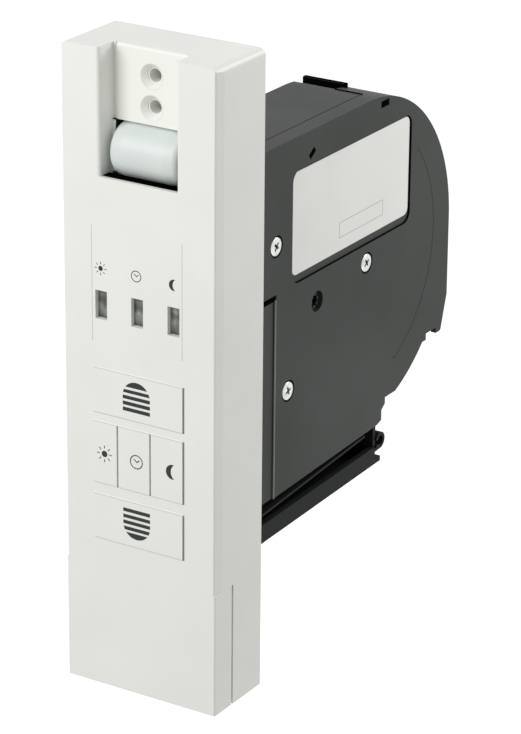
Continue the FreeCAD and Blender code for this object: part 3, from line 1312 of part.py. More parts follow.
BOARD_X = f"-({CASE_INSIDE}) + power_board_standoff"
POWER_FACE = f"{BOARD_X} + board_thickness"
power_board = box("power_board_shape", (BOARD_X, POWER_FACE),
                  ("power_board_y", "power_board_y + power_board_length"),
                  ("power_board_z", "power_board_z + power_board_height"))
named(power_board, "power_board")
transformer = box("transformer_shape", (POWER_FACE, f"{POWER_FACE} + transformer_width"),
                  ("power_board_y + board_part_margin",
                   "power_board_y + board_part_margin + transformer_length"),
                  ("power_board_z + 3", "power_board_z + 3 + transformer_height"))
named(transformer, "transformer")
relays = [
    box(f"relay_{i}", (POWER_FACE, f"{POWER_FACE} + relay_width"),
        ("power_board_y + power_board_length - board_part_margin - relay_length",
         "power_board_y + power_board_length - board_part_margin"),
        (low, f"{low} + relay_height"))
    for i, low in enumerate(("power_board_z + board_part_margin",
                             "power_board_z + 2 * board_part_margin + relay_height"))
]
named(group("relay_group", *relays), "relays")
capacitor = cylinder("capacitor_shape", "X", "capacitor_radius", POWER_FACE,
                     f"{POWER_FACE} + capacitor_length", "power_board_y + capacitor_inset",
                     "power_board_z + power_board_height - capacitor_radius - board_part_margin / 2")
named(capacitor, "capacitor")

# Mains terminal block beside the lower wall screws

TERMINAL_X = "block_width / 2 + terminal_gap"
TERMINAL_Z = f"{LOW_BLOCK_TOP} - terminal_height"
terminal_body = box("terminal_body", (TERMINAL_X, f"{INNER_HALF} - terminal_clearance"),
                    ("-panel_thickness - terminal_depth", "-panel_thickness"),
                    (TERMINAL_Z, f"{TERMINAL_Z} + terminal_height"))
terminal_holes = []
for i in range(3):
    z = f"{TERMINAL_Z} + terminal_height * {(2 * i + 1) / 6}"
    terminal_holes.append(cylinder(f"clamp_screw_hole_{i}", "Y", "terminal_hole_radius",
                                   "-panel_thickness - terminal_depth - 1",
                                   "-panel_thickness - terminal_depth / 2",
                                   f"{TERMINAL_X} + terminal_bore", z))
    terminal_holes.append(cylinder(f"wire_hole_{i}", "X", "terminal_hole_radius", f"{TERMINAL_X} - 1",
                                   f"{TERMINAL_X} + terminal_bore", "-panel_thickness - terminal_depth / 2",
                                   z))
named(cut("terminal_shape", terminal_body, *terminal_holes), "terminal_block")

doc.recompute()
faults = [thing.Name for thing in doc.Objects if {"Invalid", "Error"} & set(thing.State)]
if faults:
    raise RuntimeError("objects that failed: " + ", ".join(faults))
os.makedirs("parts", exist_ok=True)
for node in nodes:
    shape = node.Shape
    if shape.isNull() or not shape.isValid() or not shape.Solids:
        raise RuntimeError(f"{node.Label} has no valid solid")
    shape.exportStep(f"parts/{node.Label}.step")
    print(f"{node.Label}: {len(shape.Solids)} solid(s), {shape.Volume / 1000:.2f} cm3")
print(len(nodes), "sub-parts")
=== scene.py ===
import json
import logging
import math
from dataclasses import dataclass, field
from enum import Enum
from typing import Any, Sequence

import bmesh
import bpy
from mathutils import Matrix, Vector

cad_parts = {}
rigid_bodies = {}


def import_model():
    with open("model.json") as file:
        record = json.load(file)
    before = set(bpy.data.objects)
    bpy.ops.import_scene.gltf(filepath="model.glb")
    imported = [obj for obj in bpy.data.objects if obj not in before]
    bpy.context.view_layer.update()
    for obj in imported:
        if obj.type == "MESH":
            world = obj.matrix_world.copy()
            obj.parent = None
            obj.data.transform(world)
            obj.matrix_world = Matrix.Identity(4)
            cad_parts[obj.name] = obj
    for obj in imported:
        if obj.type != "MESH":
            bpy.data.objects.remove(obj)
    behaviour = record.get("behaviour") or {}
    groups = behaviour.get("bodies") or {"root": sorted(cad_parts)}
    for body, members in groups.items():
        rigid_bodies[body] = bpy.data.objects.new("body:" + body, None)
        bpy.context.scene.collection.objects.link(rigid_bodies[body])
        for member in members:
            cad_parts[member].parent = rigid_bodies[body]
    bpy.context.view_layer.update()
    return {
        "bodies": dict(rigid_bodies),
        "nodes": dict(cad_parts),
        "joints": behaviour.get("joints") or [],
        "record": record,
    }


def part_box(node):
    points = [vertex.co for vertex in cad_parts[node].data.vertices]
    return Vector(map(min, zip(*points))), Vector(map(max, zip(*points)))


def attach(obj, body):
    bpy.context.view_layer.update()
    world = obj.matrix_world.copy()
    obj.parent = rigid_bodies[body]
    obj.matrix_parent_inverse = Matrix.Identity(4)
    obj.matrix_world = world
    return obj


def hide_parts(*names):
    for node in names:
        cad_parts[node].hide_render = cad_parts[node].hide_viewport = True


# An electric belt winder: white plate with keys and roller on the wall, flat dark case behind it.
# Lengths in the classes are in millimetres of the part's own frame. mm() turns them to metres.
# A Point is a place on a flat figure, a Spot one in space, and a Span two limits, sizes or places.

LOG = logging.getLogger("belt_winder")
Piece = bpy.types.Object
Tree = bpy.types.NodeTree
Socket = bpy.types.NodeSocket
Point = tuple[float, float]
Span = tuple[float, float]
Spot = tuple[float, float, float]
Outlines = list[list[Point]]
Profile = tuple[Point, ...]
NODES: dict[str, Piece] = {}

# Edges sharper than the first angle are rounded, and edges sharper than the second stay crisp.
BEVEL_FROM = math.radians(30)
CRISP_FROM = math.radians(38)
# Turns that lay a piece built along Z onto a named direction.
TURNS = {
    "X": Matrix.Rotation(math.radians(90), 4, "Y"),
    "-Y": Matrix.Rotation(math.radians(90), 4, "X"),
    "Z": Matrix.Identity(4),
}


def mm(*values: float) -> Vector:
    """A vector in metres from three lengths in millimetres."""
    return Vector(value * 0.001 for value in values)


def linear(colour: str) -> tuple[float, float, float, float]:
    """Turns a colour written as the eye sees it into the values that light adds up in.

    Args:
        colour: six sRGB hex digits.

    Returns:
        Linear red, green, blue and a full alpha.
    """
    parts = [int(colour[i:i + 2], 16) / 255 for i in (0, 2, 4)]
    return (*(c / 12.92 if c <= 0.04045 else ((c + 0.055) / 1.055) ** 2.4 for c in parts), 1.0)


def arc_points(centre: Point, radius: float, start: float, end: float, count: int) -> list[Point]:
    """Points on an arc.

    Args:
        centre: its centre.
        radius: its radius.
        start: angle of its first point in degrees.
        end: angle of its last point in degrees.
        count: number of points.

    Returns:
        The points in order.
    """
    angles = (math.radians(start + (end - start) * i / (count - 1)) for i in range(count))
    return [(centre[0] + radius * math.cos(a), centre[1] + radius * math.sin(a)) for a in angles]


def compass(turn: float) -> tuple[Vector, Vector]:
    """The direction at an angle in degrees, and the one square to it."""
    a = math.radians(turn)
    return Vector((math.cos(a), math.sin(a))), Vector((-math.sin(a), math.cos(a)))


def add_node(tree: Tree, kind: str, inputs: dict[str | int, Any] | None = None,
             stops: Sequence[tuple[float, str]] = (), **settings: Any) -> bpy.types.Node:
    """Adds one shader node.

    Args:
        tree: the node tree to add to.
        kind: the node's type name.
        inputs: value or incoming socket for each input, by its name or number.
        stops: position and sRGB colour of each stop of the node's ramp, in order.
        settings: the node's own properties.

    Returns:
        The new node.
    """
    node = tree.nodes.new(kind)
    for name, value in settings.items():
        setattr(node, name, value)
    for name, value in (inputs or {}).items():
        if isinstance(value, Socket):
            tree.links.new(value, node.inputs[name])
        else:
            node.inputs[name].default_value = value
    for _ in stops[2:]:
        node.color_ramp.elements.new(0.5)
    for i, (position, colour) in enumerate(stops):
        node.color_ramp.elements[i].position = position
        node.color_ramp.elements[i].color = linear(colour)
    return node


def empty_tree(owner: bpy.types.Material | bpy.types.World) -> Tree:
    """Empties the node tree of a material or world.

    Args:
        owner: the material or world.

    Returns:
        Its tree, without a node.
    """
    owner.use_nodes = True
    owner.node_tree.nodes.clear()
    return owner.node_tree


class Surface(Enum):
    """How a surface was made, which decides its pattern."""

    SPARKED = "moulded in a spark-eroded tool"
    POLISHED = "moulded in a polished tool"
    BRUSHED = "rolled or drawn metal"
    TURNED = "turned on a lathe"
    PRINTED = "screen printed"
    ETCHED = "etched circuit under lacquer"
    WOUND = "wound wire"
    STACKED = "stacked sheets"
    MATTED = "matted fibres"


@dataclass(frozen=True)
class Finish:
    """One material and how its surface was made.

    Args:
        name: the material's common name.
        colour: its main colour.
        shade: the colour of its patches, worn spots or pattern.
        surface: how the surface was made.
        roughness: mean roughness.
        metallic: 1 for bare metal.
        ior: index of refraction.
        specular: how much of that index's reflection the surface keeps, 0.5 being all of it.
        grain_mm: real size of the pattern's grain.
        relief_mm: height of the grain.
        patch_mm: size of the slow colour patches.
        edge_mm: radius that the mould or the wear gives the edges.
        coat: share of a clear coat.
    """

    name: str
    colour: str
    shade: str
    surface: Surface = Surface.SPARKED
    roughness: float = 0.45
    metallic: float = 0.0
    ior: float = 1.5
    specular: float = 0.5
    grain_mm: float = 0.35
    relief_mm: float = 0.01
    patch_mm: float = 28.0
    edge_mm: float = 0.15
    coat: float = 0.0

    def build(self) -> bpy.types.Material:
        """Makes the node material, once.

        Returns:
            The material.
        """
        known = bpy.data.materials.get(self.name)
        if known:
            return known
        material = bpy.data.materials.new(self.name)
        tree = empty_tree(material)
        place = add_node(tree, "ShaderNodeTexCoord").outputs["Object"]
        patches = add_node(tree, "ShaderNodeTexNoise", {
            "Vector": place, "Scale": 1000 / self.patch_mm, "Detail": 3.0})
        tint = self.tint(tree, place, patches.outputs["Fac"])
        grain = self.grain(tree, place)
        gloss = add_node(tree, "ShaderNodeMapRange", {
            "Value": patches.outputs["Fac"], "From Min": 0.3, "From Max": 0.7,
            "To Min": self.roughness * 0.9, "To Max": min(1.0, self.roughness * 1.1)})
        soft = add_node(tree, "ShaderNodeBevel", {"Radius": self.edge_mm * 0.001}, samples=4)
        relief = add_node(tree, "ShaderNodeBump", {
            "Height": grain, "Distance": self.relief_mm * 0.001, "Strength": 0.6,
            "Normal": soft.outputs["Normal"]})
        shader = add_node(tree, "ShaderNodeBsdfPrincipled", {
            "Base Color": tint, "Roughness": gloss.outputs["Result"], "Normal": relief.outputs["Normal"],
            "Metallic": self.metallic, "Coat Weight": self.coat, "Coat Roughness": 0.12})
        if not self.metallic:
            shader.inputs["IOR"].default_value = self.ior
            shader.inputs["Specular IOR Level"].default_value = self.specular
        add_node(tree, "ShaderNodeOutputMaterial", {"Surface": shader.outputs["BSDF"]})
        return material

    def grain(self, tree: Tree, place: Socket) -> Socket:
        """The height of the surface's fine pattern.

        Args:
            tree: the material's node tree.
            place: where on the piece a point is.

        Returns:
            A socket with the height, from 0 to 1.
        """
        # How much finer the grain is along each axis.
        stretch = {Surface.BRUSHED: (0.06, 1.0, 1.0), Surface.TURNED: (1.0, 0.15, 0.15)}
        turned = add_node(tree, "ShaderNodeMapping", {
            "Vector": place, "Scale": stretch.get(self.surface, (1.0, 1.0, 1.0))})
        kind = {"Vector": turned.outputs["Vector"], "Scale": 1000 / self.grain_mm}
        if self.surface in (Surface.WOUND, Surface.STACKED):
            # A wave texture's bands stand 2 pi / 20 of its scaled length apart.
            kind["Scale"] = 100 * math.pi / self.grain_mm
            lie = "Z" if self.surface is Surface.WOUND else "X"
            wave = add_node(tree, "ShaderNodeTexWave", {**kind, "Distortion": 0.3}, bands_direction=lie)
            return wave.outputs["Fac"]
        noise = add_node(tree, "ShaderNodeTexNoise", {**kind, "Detail": 4.0, "Roughness": 0.6})
        return noise.outputs["Fac"]

    def tint(self, tree: Tree, place: Socket, patches: Socket) -> Socket:
        """The surface's colour.

        Args:
            tree: the material's node tree.
            place: where on the piece a point is.
            patches: slow noise from 0 to 1.

        Returns:
            A colour socket.
        """
        factor = patches
        if self.surface is Surface.ETCHED:
            # Tracks run in square turns around each node, seen on the board's flat side.
            turns = 8.0
            split = add_node(tree, "ShaderNodeSeparateXYZ", {"Vector": place})
            along = add_node(tree, "ShaderNodeMath", {0: split.outputs["X"], 1: split.outputs["Y"]})
            flat = add_node(tree, "ShaderNodeCombineXYZ", {"X": along.outputs[0], "Y": split.outputs["Z"]})
            cells = add_node(tree, "ShaderNodeTexVoronoi", {
                "Vector": flat.outputs[0], "Scale": 1000 / (turns * self.grain_mm)}, distance="CHEBYCHEV")
            rings = add_node(tree, "ShaderNodeMath", {0: cells.outputs["Distance"], 1: turns},
                             operation="MULTIPLY")
            factor = add_node(tree, "ShaderNodeMath", {0: rings.outputs[0], 1: 1.0},
                              operation="PINGPONG").outputs[0]
        ramp = add_node(tree, "ShaderNodeValToRGB", {"Fac": factor},
                        ((0.35, self.colour), (0.75, self.shade)))
        return ramp.outputs["Color"]


@dataclass(frozen=True)
class LampLens(Finish):
    """Clear plastic over a lamp that is off: grey bands by height, which are painted shade and painted
    reflection, and faint upright streaks that the moulding leaves.

    Args:
        low_mm: height of the lens's foot.
        high_mm: height of its top.
        bend_mm: how far the grey bands wander.
        streak_mm: width of a streak.
    """

    low_mm: float = 13.4
    high_mm: float = 22.9
    bend_mm: float = 4.0
    streak_mm: float = 1.1

    def tint(self, tree: Tree, place: Socket, patches: Socket) -> Socket:
        """The lens's colour by its height.

        Args:
            tree: the material's node tree.
            place: where on the piece a point is.
            patches: slow noise from 0 to 1, which bends the bands a little.

        Returns:
            A colour socket.
        """
        split = add_node(tree, "ShaderNodeSeparateXYZ", {"Vector": place})
        bent = add_node(tree, "ShaderNodeMath", {
            0: patches, 1: self.bend_mm * 0.001, 2: split.outputs["Z"]}, operation="MULTIPLY_ADD")
        height = add_node(tree, "ShaderNodeMapRange", {
            "Value": bent.outputs[0], "From Min": (self.low_mm + self.bend_mm / 2) * 0.001,
            "From Max": (self.high_mm + self.bend_mm / 2) * 0.001})
        # The bands are painted shade and painted reflection on the lens, darker and lighter by height.
        bands = add_node(tree, "ShaderNodeValToRGB", {"Fac": height.outputs["Result"]}, (
            (0.0, "5A5E56"), (0.14, "7C8179"), (0.36, "9BA099"), (0.52, "70756C"), (0.68, "5E635A"),
            (0.82, "888D85"), (0.94, "767B73"), (1.0, "60655C")))
        upright = add_node(tree, "ShaderNodeMapping", {"Vector": place, "Scale": (1.0, 1.0, 0.16)})
        streaks = add_node(tree, "ShaderNodeTexNoise", {
            "Vector": upright.outputs["Vector"], "Scale": 1000 / self.streak_mm, "Detail": 2.0})
        lift = add_node(tree, "ShaderNodeValToRGB", {"Fac": streaks.outputs["Fac"]},
                        ((0.3, "9A9A9A"), (0.7, "FFFFFF")))
        both = add_node(tree, "ShaderNodeMix", {
            0: 0.9, 6: bands.outputs["Color"], 7: lift.outputs["Color"]}, data_type="RGBA",
            blend_type="MULTIPLY")
        return both.outputs[2]


# White ABS of the plate: a fine dull grain that only shows as a soft sheen.
WHITE_ABS = Finish("white_abs", "E7E8E3", "E3E4DF", roughness=0.45, relief_mm=0.006, edge_mm=0.08)
# The same ABS for the frame behind: a trace lighter, so that it stays white in the recess's shade.
FRAME_ABS = Finish("frame_abs", "ECEDE7", "E8E9E2", roughness=0.5)
# Glass-filled polyamide of the case: anthracite, clearly grained, greys out in flat light.
CASE_PA = Finish("case_polyamide", "2B2F2C", "262A27", roughness=0.5, specular=0.27, relief_mm=0.03,
                 grain_mm=0.5, patch_mm=60.0)
# The same polyamide made nearly black for the channel under the case: painted shade of its deep, unlit
# inside.
CHANNEL_PA = Finish("channel_polyamide", "1A1D1B", "202321", roughness=0.5, specular=0.07, relief_mm=0.02,
                    grain_mm=0.5)
# Black polyamide of brackets and small bodies: dull, with a soft grey sheen.
BLACK_PA = Finish("black_polyamide", "171818", "1E1F1F", roughness=0.42, specular=0.35)
# Near black with a coarse fibre grain: painted shade laid in slots, in seams, under the side's step, in the
# label field's edges and under the roller.
SHADE_BLACK = Finish("painted_shade_black", "050505", "0A0A0A", Surface.MATTED, roughness=0.95, specular=0.0, grain_mm=0.6,
              relief_mm=0.08)
# Acetal of the roller: white and slick, cool in tone, with a wide soft shine.
ACETAL = Finish("white_acetal", "D3DAD7", "C9D0CD", Surface.POLISHED, roughness=0.46, relief_mm=0.002)
# Natural acetal of the gears: warm ivory.
GEAR_ACETAL = Finish("ivory_acetal", "D9D2BC", "CFC7AE", Surface.POLISHED, roughness=0.35)
# Black acetal of the reel: slick, so that it greys where light slides along it.
REEL_ACETAL = Finish("reel_acetal", "2B2D2C", "343635", Surface.POLISHED, roughness=0.38)
# White polyester label film: smooth and satin.
LABEL_FILM = Finish("label_film", "E6E7E3", "E0E1DD", Surface.PRINTED, roughness=0.35, grain_mm=0.8,
                    relief_mm=0.004, edge_mm=0.05)
# Near black, matt rings under the screw heads: painted shade of the gap around each head.
RING_SHADE = Finish("painted_ring_shade", "080808", "0D0D0D", roughness=0.7, specular=0.1)
# Pale polyamide along the side's step: a painted highlight on its edge.
EDGE_HIGHLIGHT = Finish("painted_edge_highlight", "90938E", "848782", roughness=0.5, specular=0.2, edge_mm=0.05)
# Nearly black in the screw recesses: painted shade at their bottom.
RECESS_SHADE = Finish("painted_recess_shade", "1C1D1D", "343535", roughness=0.45, specular=0.3, patch_mm=0.8)
# Bright zinc on steel screws: a mirror just dulled by the tumbling barrel.
ZINC = Finish("zinc_plate", "E4E5E3", "C4C7C6", Surface.TURNED, roughness=0.3, metallic=1.0, grain_mm=0.2,
              relief_mm=0.004, patch_mm=1.6, edge_mm=0.1)
# Zinc-plated sheet of the motor's bracket, with the slow spangle of hot dipping.
ZINC_SHEET = Finish("zinc_sheet", "C9CCCB", "B9BDBD", Surface.BRUSHED, roughness=0.36, metallic=1.0,
                    patch_mm=6.0, relief_mm=0.006)
# Ground steel of axles, pins and shafts: bright, with fine lines.
STEEL = Finish("ground_steel", "B9BCBE", "AEB1B3", Surface.BRUSHED, roughness=0.28, metallic=1.0,
               relief_mm=0.003)
# Nickel-plated steel can of the motor: a soft, slightly dark mirror.
CAN_STEEL = Finish("nickel_can", "A8ACAD", "9DA1A2", Surface.BRUSHED, roughness=0.34, metallic=1.0)
# Deep-drawn aluminium top of the capacitor: pale and satin.
ALUMINIUM = Finish("aluminium_top", "CDD0D2", "C2C5C8", Surface.BRUSHED, roughness=0.4, metallic=1.0)
# Tinned legs and solder: bright, a little grey.
TIN = Finish("tin_solder", "C6C8C6", "B4B7B6", Surface.POLISHED, roughness=0.32, metallic=1.0)
# Machined brass of worm, bush and clamp screws: yellow, with the lathe's fine rings.
BRASS = Finish("machined_brass", "C9A65C", "BE9950", Surface.TURNED, roughness=0.3, metallic=1.0)
# Green lacquer over copper tracks in square turns, drawn 1.5 mm wide so that they show.
CIRCUIT = Finish("circuit_lacquer", "27553A", "3F7349", Surface.ETCHED, roughness=0.35, grain_mm=1.5,
                 relief_mm=0.01, coat=0.3)
# Polyester of the relay cases: an even, dull blue.
RELAY_PBT = Finish("blue_polyester", "37465C", "3D4D64", roughness=0.4)
# Copper winding under clear tape: wires drawn 0.5 mm thick so that the turns show.
WINDING = Finish("copper_winding", "A8642F", "8E5226", Surface.WOUND, roughness=0.4, grain_mm=0.5,
                 relief_mm=0.12, coat=0.4)
# Laminated core: dark varnished sheets 0.5 mm thick, their edges slightly rusty.
CORE_SHEET = Finish("core_sheet", "4A4743", "5B544C", Surface.STACKED, roughness=0.5, metallic=0.6,
                    grain_mm=0.5, relief_mm=0.08)
# Shrink sleeve of the capacitor, dark and slick.
SLEEVE = Finish("shrink_sleeve", "1D2330", "232A38", Surface.POLISHED, roughness=0.3, coat=0.3)
# Polyamide of the terminal block: light grey and dull.
TERMINAL_PA = Finish("terminal_polyamide", "C6C8C2", "BFC1BB", roughness=0.45)
# White polyamide of the lamps' bodies, smooth so that it throws light forward.
LAMP_BODY = Finish("lamp_reflector", "E9E9E2", "E2E2DA", Surface.POLISHED, roughness=0.4)
# Epoxy with yellow phosphor in the middle of the lamps: glossy.
LAMP_EPOXY = Finish("lamp_epoxy", "E6DC9A", "DDD28C", Surface.POLISHED, roughness=0.15)
# Matt grey strips right of and under the keys' windows: painted shade of the keys' edges, a thin line from
# afar.
KEY_SHADE = Finish("painted_key_shade", "80847E", "888C86", roughness=0.6, specular=0.2, edge_mm=0.02)
# Pad-printed symbols: dark grey ink, matt.
INK = Finish("pad_print_ink", "2A302C", "2F3531", Surface.PRINTED, roughness=0.6, specular=0.25,
             relief_mm=0.002, edge_mm=0.02)
# Grey ink of the label's empty frame: a hairline.
LABEL_INK = Finish("label_ink", "8A8C8A", "929492", Surface.PRINTED, roughness=0.5, relief_mm=0.002,
                   edge_mm=0.02)
# Pressed ferrite of the pulse magnet: charcoal and dull.
FERRITE = Finish("ferrite", "38383A", "404043", roughness=0.55)
# Clear polycarbonate of the lamp windows: grey bands of painted shade and painted reflection.
LENS = LampLens("clear_lens", "707570", "606560", Surface.POLISHED, roughness=0.3, relief_mm=0.001,
                patch_mm=2.5)


class Shape:
    """Meshes from outlines and profiles, made in place and shaded smooth up to their sharp edges."""

    @staticmethod
    def finished(name: str, mesh: bmesh.types.BMesh, bevel_mm: float = 0.0, steps: int = 2) -> Piece:
        """Turns a working mesh into an object of the scene.

        Args:
            name: the object's name.
            mesh: the working mesh in metres, which is freed.
            bevel_mm: width of the rounding put on its sharp edges.
            steps: number of faces across a rounding.

        Returns:
            The new object.
        """
        bmesh.ops.recalc_face_normals(mesh, faces=mesh.faces)
        if bevel_mm:
            sharp = [edge for edge in mesh.edges
                     if len(edge.link_faces) == 2 and edge.calc_face_angle(0.0) > BEVEL_FROM]
            bmesh.ops.bevel(mesh, geom=sharp, offset=bevel_mm * 0.001, segments=steps, profile=0.5,
                            affect="EDGES", clamp_overlap=True)
        data = bpy.data.meshes.new(name)
        mesh.to_mesh(data)
        mesh.free()
        data.shade_smooth()
        data.set_sharp_from_angle(angle=CRISP_FROM)
        piece = bpy.data.objects.new(name, data)
        bpy.context.scene.collection.objects.link(piece)
        return piece

    @staticmethod
    def block(name: str, low: Spot, high: Spot, bevel_mm: float = 0.3, steps: int = 3) -> Piece:
        """A block with rounded edges.

        Args:
            name: the object's name.
            low: its lowest corner in millimetres.
            high: its highest corner.
            bevel_mm: width of the rounding.
            steps: number of faces across the rounding.

        Returns:
            The new object.
        """
        mesh = bmesh.new()
        bmesh.ops.create_cube(mesh, size=1.0)
        centre, sides = (mm(*low) + mm(*high)) / 2, mm(*high) - mm(*low)
        bmesh.ops.transform(mesh, matrix=Matrix.Translation(centre) @ Matrix.Diagonal((*sides, 1.0)),
                            verts=mesh.verts)
        return Shape.finished(name, mesh, bevel_mm, steps)

    @staticmethod
    def blocks(name: str, corners: Sequence[tuple[Spot, Spot]], bevel_mm: float = 0.3,
               steps: int = 3) -> Piece:
        """One object from several blocks, each between two corners in millimetres."""
        return Shape.joined(name, [Shape.block(f"{name}_{i}", low, high, bevel_mm, steps)
                                   for i, (low, high) in enumerate(corners)])

    @staticmethod
    def plate(name: str, axis: str, outlines: Sequence[Sequence[Point]], low: float, high: float,
              bevel_mm: float = 0.0) -> Piece:
        """Flat figures with some thickness.

        Args:
            name: the object's name.
            axis: "X", "Y" or "Z", across the figures.
            outlines: closed outlines in millimetres on the other two axes, in their order.
            low: where the figures start along the axis.
            high: where they end.
            bevel_mm: rounding of their edges.

        Returns:
            One object with all the figures.
        """
        mesh = bmesh.new()
        across = "XYZ".index(axis)
        shift = mm(0, 0, 0)
        shift[across] = (high - low) * 0.001
        for outline in outlines:
            corners = [mesh.verts.new(mm(*pair[:across], low, *pair[across:])) for pair in outline]
            grown = bmesh.ops.extrude_face_region(mesh, geom=[mesh.faces.new(corners)])
            moved = [item for item in grown["geom"] if isinstance(item, bmesh.types.BMVert)]
            bmesh.ops.translate(mesh, verts=moved, vec=shift)
        return Shape.finished(name, mesh, bevel_mm)

    @staticmethod
    def lathe(name: str, axis: str, centre: Spot, profile: Sequence[Point], segments: int = 64,
              closed: bool = False) -> Piece:
        """A turned piece.

        Args:
            name: the object's name.
            axis: a name in TURNS.
            centre: a point on the axis in millimetres; profile heights count from there.
            profile: (height, radius) pairs in millimetres, from one end to the other.
            segments: number of faces around.
            closed: whether the profile's last point goes back to its first, as in a ring.

        Returns:
            The new object.
        """
        mesh = bmesh.new()
        rings = []
        for height, radius in profile:
            spots = arc_points((0.0, 0.0), radius, 0, 360, segments + 1)[:-1] if radius else [(0.0, 0.0)]
            rings.append([mesh.verts.new(mm(*spot, height)) for spot in spots])
        for first, second in zip(rings, rings[1:] + rings[:1] if closed else rings[1:]):
            for i in range(segments):
                j = (i + 1) % segments
                loop = list(dict.fromkeys((first[i % len(first)], first[j % len(first)],
                                           second[j % len(second)], second[i % len(second)])))
                if len(loop) > 2:
                    mesh.faces.new(loop)
        for ring in () if closed else (rings[0], rings[-1]):
            if len(ring) > 1:
                mesh.faces.new(ring)
        bmesh.ops.transform(mesh, matrix=Matrix.Translation(mm(*centre)) @ TURNS[axis], verts=mesh.verts)
        return Shape.finished(name, mesh)

    @staticmethod
    def ring(name: str, axis: str, centre: Spot, low: float, high: float, inner: float,
             outer: float) -> Piece:
        """A turned ring with slightly rounded edges.

        Args:
            name: the object's name.
            axis: a name in TURNS.
            centre: a point on the axis in millimetres; low and high count from there.
            low: where the ring starts along the axis.
            high: where it ends.
            inner: its bore's radius.
            outer: its own radius.

        Returns:
            The new object.
        """
        cut = min(0.15, (outer - inner) / 4, (high - low) / 4)
        profile = [(low, inner + cut), (low, outer - cut), (low + cut, outer), (high - cut, outer),
                   (high, outer - cut), (high, inner + cut), (high - cut, inner), (low + cut, inner)]
        return Shape.lathe(name, axis, centre, profile, closed=True)

    @staticmethod
    def joined(name: str, pieces: Sequence[Piece]) -> Piece:
        """One object from several.

        Args:
            name: the object's name.
            pieces: the objects that go into it, which are removed.

        Returns:
            The new object.
        """
        mesh = bmesh.new()
        for piece in pieces:
            mesh.from_mesh(piece.data)
            bpy.data.objects.remove(piece)
        return Shape.finished(name, mesh)

    @staticmethod
    def carved(piece: Piece, cutter: Piece) -> Piece:
        """Cuts one object out of another.

        Args:
            piece: the object that is cut.
            cutter: the object that cuts, which is removed.

        Returns:
            The cut object.
        """
        step = piece.modifiers.new("carve", "BOOLEAN")
        step.operation = "DIFFERENCE"
        step.solver = "EXACT"
        step.object = cutter
        bpy.context.view_layer.update()
        graph = bpy.context.evaluated_depsgraph_get()
        data = bpy.data.meshes.new_from_object(piece.evaluated_get(graph))
        piece.modifiers.clear()
        piece.data = data
        bpy.data.objects.remove(cutter)
        data.shade_smooth()
        data.set_sharp_from_angle(angle=CRISP_FROM)
        return piece


@dataclass(frozen=True)
class PanScrew:
    """A pan-head screw with a cross recess.

    Args:
        radius: the head's radius.
        height: the head's height.
        shank: the thread's outer radius.
        length: the shank's length.
        pitch: the thread's pitch.
        recess: half of the cross recess's length.
    """

    radius: float
    height: float
    shank: float
    length: float
    pitch: float = 0.9
    recess: float = 1.9

    def make(self, name: str, axis: str, seat: Spot, turn: float = 0.0) -> Piece:
        """Makes the screw.

        Args:
            name: the piece's name.
            axis: the direction that the head faces, a name in TURNS.
            seat: the middle of the head's underside.
            turn: angle of the cross in degrees.

        Returns:
            The screw, in place.
        """
        dome = min(0.6, self.height * 0.6)
        point = min(1.2, self.length / 3)
        root = self.shank * 0.86
        profile = [(-self.length, 0.0), (-self.length, self.shank * 0.4), (point - self.length, root)]
        for thread in range(int((self.length - 2 * point) / self.pitch)):
            foot = point - self.length + self.pitch * thread
            profile += [(foot + self.pitch / 2, self.shank), (foot + self.pitch, root)]
        profile += [(0.0, root), (0.0, self.radius - 0.15), (0.12, self.radius),
                    (self.height - dome, self.radius)]
        profile += arc_points((self.height - dome, self.radius - dome), dome, 70, 10, 4)
        profile += [(self.height, 0.0)]
        screw = Shape.lathe(name, axis, seat, profile)
        for arm in self.arms(f"{name}_arm", axis, seat, self.height + 0.5, turn):
            Shape.carved(screw, arm)
        return screw

    def arms(self, name: str, axis: str, seat: Spot, top: float, turn: float) -> list[Piece]:
        """The two tapered bars that cross in the recess.

        Args:
            name: the pieces' name.
            axis: the direction that the head faces.
            seat: the middle of the head's underside.
            top: height of their wide end over the seat.
            turn: angle of the cross in degrees.

        Returns:
            The two bars.
        """
        place = Matrix.Translation(mm(*seat)) @ TURNS[axis] @ Matrix.Rotation(math.radians(turn), 4, "Z")
        bars = []
        for wide, tall in ((self.recess, self.recess * 0.26), (self.recess * 0.26, self.recess)):
            mesh = bmesh.new()
            bmesh.ops.create_cube(mesh, size=2.0)
            for vert in mesh.verts:
                height, share = (top, 1.0) if vert.co.z > 0 else (self.height * 0.15, 0.7)
                vert.co = mm(vert.co.x * wide * share, vert.co.y * tall * share, height)
            bmesh.ops.transform(mesh, matrix=place, verts=mesh.verts)
            bars.append(Shape.finished(name, mesh))
        return bars


@dataclass
class Part:
    """A sub-assembly: dresses CAD nodes and adds its own pieces.

    Args:
        body: the body that carries its own pieces, unless another is named.
        pieces: names of its own pieces, in the order they were added.
    """

    body: str = "winder"
    pieces: list[str] = field(default_factory=list)

    def dress(self, finish: Finish, *nodes: str) -> None:
        """Gives CAD nodes a finish.

        Args:
            finish: the finish.
            nodes: the nodes' names.
        """
        for node in nodes:
            data = NODES[node].data
            data.materials.clear()
            data.materials.append(finish.build())
            LOG.info("%s: %s", node, finish.name)

    def add(self, piece: Piece, finish: Finish, slot: str, body: str = "",
            replaces: Sequence[str] = ()) -> None:
        """Adds a piece to the part.

        Args:
            piece: the object, in place.
            finish: its finish.
            slot: the record's material slot that it belongs to; not used.
            body: the moving body that carries it, by default the sub-assembly's own.
            replaces: CAD nodes that it stands for.
        """
        piece.data.materials.clear()
        piece.data.materials.append(finish.build())
        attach(piece, body or self.body)
        if replaces:
            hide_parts(*replaces)
        self.pieces.append(piece.name)
        LOG.info("%s: %s on %s", piece.name, finish.name, body or self.body)


